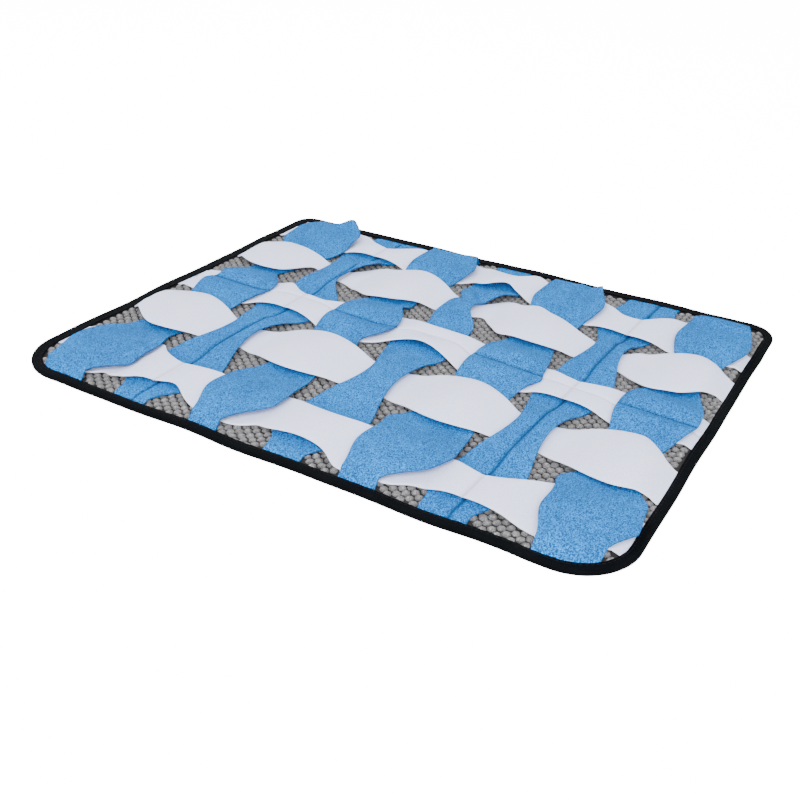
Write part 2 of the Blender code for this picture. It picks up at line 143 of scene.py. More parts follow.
class Finish:
    """A material under construction, with its Principled shader."""

    def __init__(self, name, roughness):
        self.material = bpy.data.materials.new(name)
        self.material.use_nodes = True
        self.tree = self.material.node_tree
        self.shader = self.tree.nodes["Principled BSDF"]
        self.shader.inputs["Roughness"].default_value = roughness

    def add(self, kind, settings=None, sockets=None, out=0):
        node = self.tree.nodes.new(kind)
        for key, value in (settings or {}).items():
            setattr(node, key, value)
        for key, value in (sockets or {}).items():
            self.feed(node.inputs[key], value)
        return Value(self, node.outputs[out])

    def feed(self, socket, value):
        if isinstance(value, Value):
            self.tree.links.new(value.socket, socket)
        else:
            socket.default_value = value

    def places(self):
        """Where a point of the surface is, from the origin."""
        return self.add("ShaderNodeTexCoord", out="Object")

    def attribute(self, name):
        """A number that the mesh keeps for each of its points."""
        return self.add("ShaderNodeAttribute", {"attribute_name": name}, {}, "Fac")

    def noise(self, size, detail=2.0, roughness=0.5, curl=0.0):
        """Noise whose lumps are about size metres across, curled into little worms."""
        sockets = {"Vector": self.places(), "Scale": 1 / size,
                   "Detail": detail, "Roughness": roughness, "Distortion": curl}
        return self.add("ShaderNodeTexNoise", {}, sockets)

    def spread(self, value, low, high):
        """0 where value is low, 1 where it is high, and even between."""
        return self.add("ShaderNodeMapRange", {}, {"Value": value, 1: low, 2: high})

    def blend(self, share, first, second):
        """A colour between two, of which the share 0 gives the first."""
        return self.add("ShaderNodeMix", {"data_type": "RGBA"}, {0: share, 6: first, 7: second}, 2)

    def raised(self, height, distance):
        """The normal of a surface raised by height, which is 0 to 1, times distance."""
        return self.add("ShaderNodeBump", {}, {"Height": height, "Distance": distance})

    def set(self, **sockets):
        """Feeds the shader's own sockets, named with _ for a space."""
        for name, value in sockets.items():
            self.feed(self.shader.inputs[name.replace("_", " ")], value)


def rgb(red, green, blue):
    return (red, green, blue, 1.0)


print("shader helpers ready")

# %% [markdown]
# ## Fleece
# Fleece is knitted, brushed and sheared, so its face is a dense short nap. From a step
# away it reads as a speckle of short curled strokes, each a millimetre or two long, with
# broader patches where the nap leans another way. Real hair would take millions of
# strands for the same look, so the nap is noise in colour and in bump, and sheen gives
# the pale rim that raised fibres have where the cloth turns away. Two attributes of the
# mesh change it from place to place: along a seam the nap is crushed flatter and its
# groove gets a painted shade, and at a cut edge light is painted in, a darker line of
# painted shade on the blue and a painted highlight on the white.

# %% Two fleeces
NAP_SIZE = 0.0009         # metres, as all sizes in a finish are
PATCH_SIZE = 0.034
# the nap's hollows, its face, where it is brushed up, the painted shade of a seam's groove, and the
# painted light of a cut edge
Tones = namedtuple("Tones", "deep face brushed sewn core")


def fleece(name, tones, nap_height, sheen):
    finish = Finish(name, 0.95)
    nap = finish.spread(finish.noise(NAP_SIZE, 1.0, 0.5, 0.7), 0.45, 0.57)
    patch = finish.spread(finish.noise(PATCH_SIZE, 2.0), 0.36, 0.64)
    seam = finish.attribute("seam")
    edge = finish.attribute("cut_edge")
    colour = finish.blend(nap, tones.deep, tones.face)
    colour = finish.blend((0.35 + 0.3 * patch) * nap, colour, tones.brushed)
    # painted shade: the seam's groove is darkened towards the sewn tone
    colour = finish.blend(0.8 * seam, colour, tones.sewn)
    # painted light at a cut edge: a darker line of painted shade on the blue, a painted highlight
    # on the white
    colour = finish.blend(0.7 * edge, colour, tones.core)
    finish.set(Base_Color=colour, Normal=finish.raised(nap * (1 - 0.7 * seam), nap_height))
    finish.shader.inputs["Sheen Weight"].default_value = sheen
    finish.shader.inputs["Sheen Roughness"].default_value = 0.35
    finish.shader.inputs["Specular IOR Level"].default_value = 0.2
    return finish.material


# in each set the sewn tone is the painted shade of a seam's groove, and the last tone is painted
# light at a cut edge: shade on the blue, a highlight on the white
BLUE_TONES = Tones(rgb(0.004, 0.066, 0.20), rgb(0.005, 0.180, 0.59), rgb(0.006, 0.36, 1.0),
                   rgb(0.001, 0.020, 0.07), rgb(0.002, 0.075, 0.26))
WHITE_TONES = Tones(rgb(0.66, 0.69, 0.92), rgb(0.73, 0.77, 0.99), rgb(0.77, 0.81, 1.0),
                    rgb(0.46, 0.47, 0.56), rgb(0.84, 0.85, 0.96))
BLUE_FLEECE = fleece("blue_fleece_nap", BLUE_TONES, 0.0007, 0.0)
WHITE_FLEECE = fleece("white_fleece_nap", WHITE_TONES, 0.0002, 0.08)
print("fleeces:", BLUE_FLEECE.name, WHITE_FLEECE.name)

# %% [markdown]
# ## Bobble plush, tape and thread
# Bobble plush has small round nubs of chenille. Each nub is a real bump further on, so
# its finish gives the yarn and a painted shade: near black at a nub's foot, where the nubs
# meet, and paler up to the crown. A slightly different grey from nub to nub is kept with
# the mesh as an attribute.
# The tape is a ribbed polyester band. Its ribs follow it round the corners, so they read
# the tape's own UV map, in which one unit is one millimetre.

# %% Plush, tape and thread finishes
YARN_SIZE = 0.0014
KNIT_SIZE = 0.0012
TAPE_FIBRE_SIZE = 0.0008
TAPE_WEAR_SIZE = 0.024
RIB_SCALE = 0.42          # waves in the weave map's millimetres
TWIST_SIZE = 0.0006


def plush():
    finish = Finish("shaded_bobble_yarn", 0.95)
    tone = finish.attribute("tone")
    nub_shade = finish.attribute("nub_shade")
    yarn = finish.spread(finish.noise(YARN_SIZE, 2.0, 0.6, 1.6), 0.40, 0.60)
    # painted shade: near black at a nub's foot, where the nubs meet, paler towards its crown
    colour = finish.blend(nub_shade * (0.30 + 0.70 * yarn), rgb(0.004, 0.003, 0.003),
                          rgb(0.46, 0.45, 0.455))
    colour = finish.blend(0.35 * tone, colour, rgb(0.13, 0.124, 0.122))
    finish.set(Base_Color=colour, Normal=finish.raised(yarn, 0.0013))
    finish.shader.inputs["Sheen Weight"].default_value = 0.06
    return finish.material


def backing():
    finish = Finish("plush_backing", 0.9)
    knit = finish.spread(finish.noise(KNIT_SIZE, 2.0), 0.35, 0.65)
    broad = finish.noise(0.02)
    # painted shade: the backing is near black to stand for the shade in the gaps between the nubs
    colour = finish.blend(knit, rgb(0.004, 0.003, 0.003), rgb(0.016, 0.014, 0.013))
    colour = finish.blend(0.4 * broad, colour, rgb(0.020, 0.018, 0.017))
    finish.set(Base_Color=colour, Normal=finish.raised(knit, 0.0004))
    return finish.material


def ribbed_tape():
    finish = Finish("black_ribbed_tape", 0.62)
    places = finish.add("ShaderNodeUVMap", {"uv_map": "weave"})
    ribs = finish.add("ShaderNodeTexWave", {"bands_direction": "X"},
                      {"Vector": places, "Scale": RIB_SCALE, "Distortion": 0.6, "Detail": 1.0,
                       "Detail Scale": 2.0})
    fibre = finish.spread(finish.noise(TAPE_FIBRE_SIZE, 2.0), 0.3, 0.7)
    worn = finish.spread(finish.noise(TAPE_WEAR_SIZE, 3.0), 0.45, 0.8)
    colour = finish.blend(0.5 * ribs + 0.5 * fibre, rgb(0.0006, 0.0008, 0.0012),
                          rgb(0.0022, 0.0029, 0.0040))
    colour = finish.blend(0.5 * worn, colour, rgb(0.0040, 0.0048, 0.0062))
    finish.set(Base_Color=colour, Roughness=0.6 + 0.2 * fibre,
               Normal=finish.raised(0.7 * ribs + 0.3 * fibre, 0.0003))
    finish.shader.inputs["Specular IOR Level"].default_value = 0.03
    return finish.material


def thread(name, low, high):
    finish = Finish(name, 0.6)
    twist = finish.spread(finish.noise(TWIST_SIZE), 0.3, 0.7)
    finish.set(Base_Color=finish.blend(twist, low, high), Normal=finish.raised(twist, 0.0001))
    finish.shader.inputs["Specular IOR Level"].default_value = 0.05
    return finish.material


BOBBLE_YARN = plush()
BACKING_SHADE = backing()
BLACK_TAPE = ribbed_tape()
BLACK_THREAD = thread("black_thread", rgb(0.002, 0.0025, 0.003), rgb(0.009, 0.010, 0.012))
# the blue and white threads are real, but their tones are darkened to the painted shade of the seam
# groove they lie in
BLUE_THREAD = thread("shaded_blue_thread", rgb(0.002, 0.016, 0.06), rgb(0.004, 0.045, 0.16))
WHITE_THREAD = thread("shaded_white_thread", rgb(0.42, 0.43, 0.50), rgb(0.62, 0.63, 0.72))
print("finishes:", len(bpy.data.materials))

# %% [markdown]
# ## Making meshes
# Every piece ends as one closed mesh at the origin. Millimetres become metres here, the
# weave's middle is moved to where the frame has it, and the faces are turned outwards.

# %% From points to a piece
def make_piece(name, points, faces, material, smooth=True):
    mesh = bpy.data.meshes.new(name)
    mesh.from_pydata([(Vector(point) + MIDDLE) * MM for point in points], [], faces)
    mesh.materials.append(material)
    mesh.polygons.foreach_set("use_smooth", [smooth] * len(mesh.polygons))
    mesh.update()
    piece = bpy.data.objects.new(name, mesh)
    bpy.context.scene.collection.objects.link(piece)
    return piece


def signed_volume(mesh):
    mesh.calc_loop_triangles()
    total = 0.0
    for triangle in mesh.loop_triangles:
        a, b, c = (mesh.vertices[index].co for index in triangle.vertices)
        total += a.dot(b.cross(c))
    return total / 6


def face_outwards(piece):
    """For faces that already agree: turns them all over if they look inwards."""
    if signed_volume(piece.data) < 0:
        piece.data.flip_normals()


def face_outwards_by_neighbours(piece):
    """For faces made in any order: each is turned to agree with those beside it."""
    shape = bmesh.new()
    shape.from_mesh(piece.data)
    bmesh.ops.recalc_face_normals(shape, faces=shape.faces)
    shape.to_mesh(piece.data)
    shape.free()


def triangles(piece):
    piece.data.calc_loop_triangles()
    return len(piece.data.loop_triangles)


print("piece helpers ready")

# %% [markdown]
# ## The outline
# Hand-sewn edges are never straight. The mat's edge is a rectangle with four different
# corners, two slow waves along the sides, and a small step at the back where the end of
# the tape is lapped over its beginning. It is worked out once as a ring of sections,
# each a point and the direction that leads out of the mat.

# %% The ring of sections
def edge_wander(x, y):
    """How far the mat's edge stands out at a point of its outline."""
    along = x if abs(y) >= HALF_DEPTH - 1 else y
    side = 0.0 if x + y > 0 else 1.7
    out = sum(height * math.sin(math.tau * along / wave + start + side)
              for wave, height, start in EDGE_WAVES)
    to_corner = HALF_LENGTH - abs(x) if abs(y) >= HALF_DEPTH - 1 else HALF_DEPTH - abs(y)
    out *= ease(to_corner, max(CORNER_RADII), max(CORNER_RADII) + CALM_LENGTH)
    if x >= HALF_LENGTH - 1:
        out *= RIGHT_CALM
    if y >= HALF_DEPTH - 1:
        step = ease(x, LAP_X - LAP_RUN / 2, LAP_X + LAP_RUN / 2)
        out += LAP_RISE * (step - ease(x, LAP_X, LAP_X + LAP_LENGTH))
    return out


def outline(step_length, corner_steps):
    """Points round the mat with their way out, from the front edge towards the right."""
    corners = ((1, -1), (1, 1), (-1, 1), (-1, -1))
    sections = []
    for number, (side_x, side_y) in enumerate(corners):
        radius = CORNER_RADII[number]
        centre = Vector((side_x * (HALF_LENGTH - radius), side_y * (HALF_DEPTH - radius)))
        for step in range(corner_steps + 1):
            turn = math.radians(-90 + 90 * number + 90 * step / corner_steps)
            out = Vector((math.cos(turn), math.sin(turn)))
            sections.append((centre + out * radius, out))
        start = sections[-1][0]
        radius = CORNER_RADII[(number + 1) % 4]
        side_x, side_y = corners[(number + 1) % 4]
        end = Vector((side_x * (HALF_LENGTH - radius), side_y * (HALF_DEPTH - radius)))
        end += out * radius
        steps = round((end - start).length / step_length)
        for step in range(1, steps):
            sections.append((start.lerp(end, step / steps), out))
    return [(point + out * edge_wander(point.x, point.y), out) for point, out in sections]


def ring_point(section, inset, height):
    """A point so far in from the mat's edge, where the narrower tape draws it out."""
    point, out = section
    narrower = TAPE_NARROWER * ease(out.x - out.y, -1, 1)
    inset -= narrower * ease(inset, TAPE_BACK, TAPE_WIDTH)
    return Vector((point.x - out.x * inset, point.y - out.y * inset, height))


RING_STEP = 3.0
RING_CORNER_STEPS = 22
SECTIONS = outline(RING_STEP, RING_CORNER_STEPS)
ring_length = sum((a[0] - b[0]).length for a, b in zip(SECTIONS, SECTIONS[1:] + SECTIONS[:1]))
print(len(SECTIONS), "sections round an edge of", round(ring_length), "mm")

# %% [markdown]
# ## The camera
# The camera comes early, because it is needed to look at every later step. It stands
# over the front right corner, 30 degrees up and 30 degrees round, with a slight roll as
# a hand-held camera has.

# %% Camera
CAMERA_PLACE = (0.4250, -0.7579, 0.4437)
CAMERA_ROUND = 30.0
CAMERA_DOWN = 30.09
CAMERA_ROLL = 1.78
CAMERA_LENS = 44.36

camera = bpy.data.objects.new("camera", bpy.data.cameras.new("camera"))
camera.data.lens = CAMERA_LENS
camera.data.sensor_width = 36.0
turned = Matrix.Rotation(math.radians(CAMERA_ROUND), 4, "Z")
turned @= Matrix.Rotation(math.radians(90 - CAMERA_DOWN), 4, "X")
turned @= Matrix.Rotation(math.radians(CAMERA_ROLL), 4, "Z")
camera.matrix_world = Matrix.Translation(CAMERA_PLACE) @ turned
bpy.context.scene.collection.objects.link(camera)
bpy.context.scene.camera = camera
print("camera", [round(value, 3) for value in camera.matrix_world.translation])

# %% [markdown]
# ## Floor and light
# The floor glows white and turns up at its far ends, as a studio's paper sweep does, so
# that the mat seems to lie in an empty white room. Only the camera sees it. Most of the
# light comes from a big soft lamp beside the camera, which shines in under the near edges
# of the leaves, so that only a narrow dark line is left where one dips under the next. A
# weaker lamp from the back left brightens their far sides, and the pale surroundings fill
# what is left.

# %% Floor and light
FLOOR_SIZE = 24.0         # metres
FLOOR_DROP = 0.0002       # so that the mat's underside doesn't lie in the floor itself
SWEEP_HEIGHT = 12.0
FLOOR_GLOW = 14.0
LAMP_COLOUR = (0.95, 0.96, 1.0)


def make_floor():
    half = FLOOR_SIZE / 2
    plan = [(-half, -half), (half, -half), (half, half), (-half, half)]
    foot = [(x, y, -FLOOR_DROP) for x, y in plan]
    head = [(x, y, SWEEP_HEIGHT) for x, y in plan]
    mesh = bpy.data.meshes.new("floor")
    mesh.from_pydata(foot + head, [], [(0, 1, 2, 3), (1, 0, 4, 5), (2, 1, 5, 6),
                                       (3, 2, 6, 7), (0, 3, 7, 4)])
    floor = bpy.data.objects.new("floor", mesh)
    bpy.context.scene.collection.objects.link(floor)
    finish = Finish("pale_floor", 0.9)
    finish.set(Base_Color=rgb(0.95, 0.95, 0.95), Emission_Color=rgb(1.0, 1.0, 1.0))
    finish.shader.inputs["Emission Strength"].default_value = FLOOR_GLOW
    mesh.materials.append(finish.material)
    floor.visible_diffuse = False
    floor.visible_glossy = False
    floor.visible_shadow = False


def make_lamp(name, place, aim, size, power):
    lamp = bpy.data.objects.new(name, bpy.data.lights.new(name, "AREA"))
    lamp.data.size = size
    lamp.data.energy = power
    lamp.data.color = LAMP_COLOUR
    lamp.location = place
    lamp.rotation_euler = (Vector(aim) - Vector(place)).to_track_quat("-Z", "Y").to_euler()
    bpy.context.scene.collection.objects.link(lamp)


def make_surroundings(strength):
    world = bpy.data.worlds.new("studio")
    bpy.context.scene.world = world
    world.use_nodes = True
    background = world.node_tree.nodes["Background"]
    background.inputs["Color"].default_value = rgb(1.0, 1.0, 1.0)
    background.inputs["Strength"].default_value = strength


make_floor()
make_lamp("back_lamp", (-1.2, 1.0, 1.6), (0, 0, 0), 1.2, 36.0)
make_lamp("front_lamp", (0.9, -1.8, 1.5), (0, 0, 0), 2.2, 200.0)
make_surroundings(0.9)
print("studio ready")

# %% [markdown]
# ## How the strips are woven
# Seven blue strips cross five white ones. Every strip is cut with wavy sides, so that it
# is broad where it lies on top and narrow where it dives, and no two are quite alike. A
# cloth simulation could drape them, but it would not land in these folds, so the shape is
# a rule with listed numbers: one row of a table for every crossing.

# %% The weave in tables
# insets are measured inwards from the mat's edge
LIP_INSET = TAPE_WIDTH + 1.2      # up to here a strip lies flat
STEEP_INSET = TAPE_WIDTH + 8.2    # the nearest at which it can be up at full height
GENTLE_INSET = 34.0               # and the furthest
PUFF_INSET = 46.0                 # from here on its puff is full
STRIP_END_INSET = 5.0             # its cut end, inside the fold of the tape
END_ZONE = 60.0                   # the length over which it follows the edge's wander
CORNER_SHARE = 0.62               # how much of a rounded corner it follows
RISE_LEAD = 0.8
END_PINCH = 0.6                   # the share of its width that is left at a gathered end
WEAVE_RISE = 2.8                  # half the way from under to over
WEAVE_SNAP = 2.6                  # how quick the change is
SEAM_REACH = 13.0                 # how far from a seam the puff is held down

# low and high: the strip's width on both sides of its axis (left and right of a blue
# strip, front and back of a white one), the height of its swell between them, and how
# far each side is lifted
Crossing = namedtuple("Crossing", "low high swell lift_low lift_high")
# along and across (-1 to 1): the place of a local fold, then its height and its reach
Crest = namedtuple("Crest", "along across height reach reach_across")
# a place where one cut side stands further out, or in, than its crossings give it
Bulge = namedtuple("Bulge", "along side width reach")
LOW = 0
HIGH = 1
Strip = namedtuple("Strip", "axis_start axis_end end_start end_end crossings crests bulges")

# blue strips, from the left; their crossings run from the front to the back
BLUE_STRIPS = (
    Strip(-228, -228, (36, 15), (32, 12), (
        Crossing(45, 40, 5, 2, 3),
        Crossing(20, 28, 0, 0, 0),
        Crossing(38, 43, 8, 2, 2),
        Crossing(20, 26, 0, 0, 0),
        Crossing(43, 44, 5, 2, 5)),
        (Crest(211, 1.0, 13, 14, 0.9),),
        (Bulge(-198, HIGH, 12, 12), Bulge(-128, LOW, -6, 16), Bulge(-122, HIGH, -8, 18),
         Bulge(16, LOW, -7, 10), Bulge(50, LOW, -12, 20), Bulge(60, HIGH, -16, 20),
         Bulge(150, LOW, 7, 16), Bulge(146, HIGH, 11, 22))),
    Strip(-151, -144, (22, 14), (34, 28), (
        Crossing(42, 39, 0, 0, 0),
        Crossing(18, 15, 2, 1, 1),
        Crossing(39, 43, 0, 0, 0),
        Crossing(25, 6, 2, 1, 3),
        Crossing(36, 38, 0, 0, 0)),
        (Crest(131, 0.9, 5, 20, 0.7),),
        (Bulge(70, HIGH, -8, 30), Bulge(148, LOW, 6, 14), Bulge(150, HIGH, -10, 10))),
    Strip(-68, -68, (20, 11), (30, 28), (
        Crossing(35, 39, 5, 2, 3),
        Crossing(19, 26, 0, 0, 0),
        Crossing(33, 42, 8, 2, 3),
        Crossing(20, 24, 0, 0, 0),
        Crossing(31, 44, 4, 2, 4)),
        (Crest(50, 1.0, 4, 12, 0.6), Crest(213, 0.9, 3, 12, 0.7)),
        (Bulge(-28, HIGH, -9, 14), Bulge(52, HIGH, -7, 16))),
    Strip(14, 14, (21, 15), (28, 10), (
        Crossing(39, 37, 0, 0, 0),
        Crossing(15, 19, 3, 1, 1),
        Crossing(35, 32, 0, 0, 0),
        Crossing(26, 3, 3, 1, 2),
        Crossing(30, 30, 0, 0, 0)),
        (Crest(142, 0.6, 7, 17, 1.0),),
        (Bulge(48, LOW, -6, 16), Bulge(60, HIGH, 10, 20), Bulge(113, LOW, -8, 8))),
    Strip(96, 96, (30, 4), (36, 18), (
        Crossing(40, 42, 5, 2, 3),
        Crossing(24, 28, 0, 0, 0),
        Crossing(31, 42, 8, 2, 2),
        Crossing(18, 24, 0, 0, 0),
        Crossing(38, 38, 4, 2, 3)),
        (Crest(213, 1.0, 6, 12, 0.4),),
        (Bulge(-186, HIGH, -5, 10), Bulge(-134, LOW, 9, 14), Bulge(-12, HIGH, 5, 10))),
    Strip(164, 178, (26, 15), (33, 21), (
        Crossing(33, 31, 0, 0, 0),
        Crossing(17, 16, 2, 1, 1),
        Crossing(33, 32, 0, 0, 0),
        Crossing(18, 13, 2, 1, 1),
        Crossing(40, 30, 0, 0, 0)),
        (), ()),
    Strip(252, 252, (21, 26), (27, 22), (
        Crossing(33, 42, 6, 2, 2),
        Crossing(24, 15, 0, 0, 0),
        Crossing(38, 35, 8, 2, 4),
        Crossing(18, 13, 0, 0, 0),
        Crossing(35, 37, 4, 2, 2)),
        (Crest(196, 0.0, 3, 9, 1.8),),
        (Bulge(-210, HIGH, 5, 14), Bulge(-142, LOW, 8, 16), Bulge(-145, HIGH, 4, 12))),
)

# white strips, from the front; their crossings run from the left to the right
WHITE_STRIPS = (
    Strip(-176, -186, (11, 31), (16, 30), (
        Crossing(42, 44, 0, 0, 0),
        Crossing(24, 15, 3, 2, 1),
        Crossing(38, 31, 0, 0, 0),
        Crossing(28, 16, 4, 2, 2),
        Crossing(38, 32, 0, 0, 0),
        Crossing(26, 9, 3, 1, 1),
        Crossing(34, 52, 0, 0, 0)),
        (),
        (Bulge(-205, LOW, -6, 8), Bulge(-193, HIGH, 5, 10), Bulge(-178, LOW, 5, 12),
         Bulge(-128, LOW, -7, 14), Bulge(-32, LOW, -6, 10), Bulge(59, LOW, 8, 14),
         Bulge(122, LOW, -6, 12))),
    Strip(-70, -90, (22, 16), (38, 14), (
        Crossing(49, 36, 6, 3, 2),
        Crossing(25, 14, 0, 0, 0),
        Crossing(43, 38, 6, 2, 2),
        Crossing(24, 22, 0, 0, 0),
        Crossing(43, 37, 6, 2, 2),
        Crossing(26, 15, 0, 0, 0),
        Crossing(47, 34, 6, 2, 2)),
        (), ()),
    Strip(19, -8, (34, 12), (28, 22), (
        Crossing(42, 33, 0, 0, 0),
        Crossing(24, 15, 3, 1, 1),
        Crossing(39, 40, 0, 0, 0),
        Crossing(14, 28, 5, 5, 1),
        Crossing(36, 34, 0, 0, 0),
        Crossing(27, 10, 3, 1, 1),
        Crossing(38, 32, 0, 0, 0)),
        (),
        (Bulge(-175, HIGH, 9, 14), Bulge(-118, HIGH, -8, 16))),
    Strip(108, 81, (30, 4), (22, 18), (
        Crossing(45, 25, 5, 2, 3),
        Crossing(16, 12, 0, 0, 0),
        Crossing(36, 48, 6, 2, 3),
        Crossing(10, 20, 0, 0, 0),
        Crossing(36, 30, 6, 2, 3),
        Crossing(25, 3, 0, 0, 0),
        Crossing(47, 33, 6, 2, 2)),
        (),
        (Bulge(-258, LOW, 5, 22), Bulge(-250, HIGH, 6, 14), Bulge(-186, LOW, -24, 14),
         Bulge(-122, HIGH, 19, 16), Bulge(-115, LOW, 5, 18), Bulge(-95, LOW, 7, 14),
         Bulge(-42, LOW, -9, 22), Bulge(40, HIGH, 24, 18), Bulge(74, HIGH, 14, 16),
         Bulge(32, LOW, -10, 11), Bulge(64, LOW, 8, 12), Bulge(148, HIGH, 6, 12),
         Bulge(197, HIGH, 8, 10), Bulge(222, LOW, 11, 22))),
    Strip(192, 152, (22, 14), (26, 8), (
        Crossing(38, 34, 0, 0, 0),
        Crossing(22, 6, 3, 1, 1),
        Crossing(32, 45, 0, 0, 0),
        Crossing(6, 24, 6, 5, 1),
        Crossing(29, 46, 0, 0, 0),
        Crossing(34, 7, 3, 1, 1),
        Crossing(38, 56, 0, 0, 0)),
        (Crest(38, 1.0, 2, 12, 0.5),),
        (Bulge(-190, HIGH, 10, 18), Bulge(-110, HIGH, 9, 18), Bulge(1, LOW, 11, 13),
         Bulge(24, LOW, -4, 8), Bulge(44, HIGH, 10, 14), Bulge(156, HIGH, -7, 16),
         Bulge(198, HIGH, 10, 18))),
)
SEWN_BLUE = (1, 5)
SEWN_WHITE = (2,)
print(len(BLUE_STRIPS), "blue and", len(WHITE_STRIPS), "white strips")

# %% Where the axes and the seams run
# the seam across the mat strays by so much at these places
SEAM_STRAYS = ((-270, -6), (-200, -6), (-165, 6), (-120, 6), (-85, 0), (-50, 0),
               (-5, 10), (35, 11), (75, 1), (130, -1), (180, -4), (282, -5))


def axis_at(strip, share):
    return mix(strip.axis_start, strip.axis_end, share)


def blue_axis(number, y):
    return axis_at(BLUE_STRIPS[number], y / MAT_DEPTH + 0.5)


def white_axis(number, x):
    return axis_at(WHITE_STRIPS[number], x / MAT_LENGTH + 0.5)


def crossing_point(blue, white):
    y = white_axis(white, BLUE_STRIPS[blue].axis_start)
    x = blue_axis(blue, y)
    return x, white_axis(white, x)


def seam_wander(x):
    """How far the seam across the mat strays from the middle of its strip."""
    for (low, before), (high, after) in zip(SEAM_STRAYS, SEAM_STRAYS[1:]):
        if x <= high:
            return mix(before, after, ease(x, low, high))
    return SEAM_STRAYS[-1][1]


def seam_distances(x, y):
    """How far a place is from each seam."""
    return ([x - blue_axis(number, y) for number in SEWN_BLUE]
            + [y - white_axis(number, x) - seam_wander(x) for number in SEWN_WHITE])


def seam_free(x, y):
    """0 near a seam, where every layer is sewn down, and 1 away from all of them."""
    free = 1.0
    for distance in seam_distances(x, y):
        free *= 1 - bump_at(distance, SEAM_REACH)
    return free


def panel_top(inset):
    return mix(PRESSED_TOP, PANEL_THICKNESS, ease(inset, SWELL_START, SWELL_END))


def strip_end(along, aside, blue):
    """Near its ends a strip follows the mat's edge, its wander and its rounded corners."""
    half, half_aside = (HALF_DEPTH, HALF_LENGTH) if blue else (HALF_LENGTH, HALF_DEPTH)
    x, y = (aside, along) if blue else (along, aside)
    side = math.copysign(1, along)
    radius = CORNER_RADII[(0, 3, 1, 2)[2 * (y > 0) + (x <= 0)]]
    past = min(max(abs(aside) - half_aside + radius, 0.0), CORNER_SHARE * radius)
    slope = math.sqrt(1 - (past / radius) ** 2)
    wander = edge_wander(x, side * half) if blue else edge_wander(side * half, y)
    shift = wander - radius * (1 - slope) - (half - abs(along)) * (1 / slope - 1)
    return along + side * shift * ease(abs(along), half - END_ZONE, half - STEEP_INSET)


print("strip 1 crosses strip 1 at", [round(value, 1) for value in crossing_point(0, 0)])

# %% [markdown]
# ## One woven strip
# A strip's middle layer is one function of two numbers: how far along it a place is, and
# how far across. Its height is a wave, over one strip and under the next, with a puff
# where it lies on top and a trough along each seam. The thickness is added after that on
# both sides, thinning to nothing over the last millimetre so that the cut edge is round.

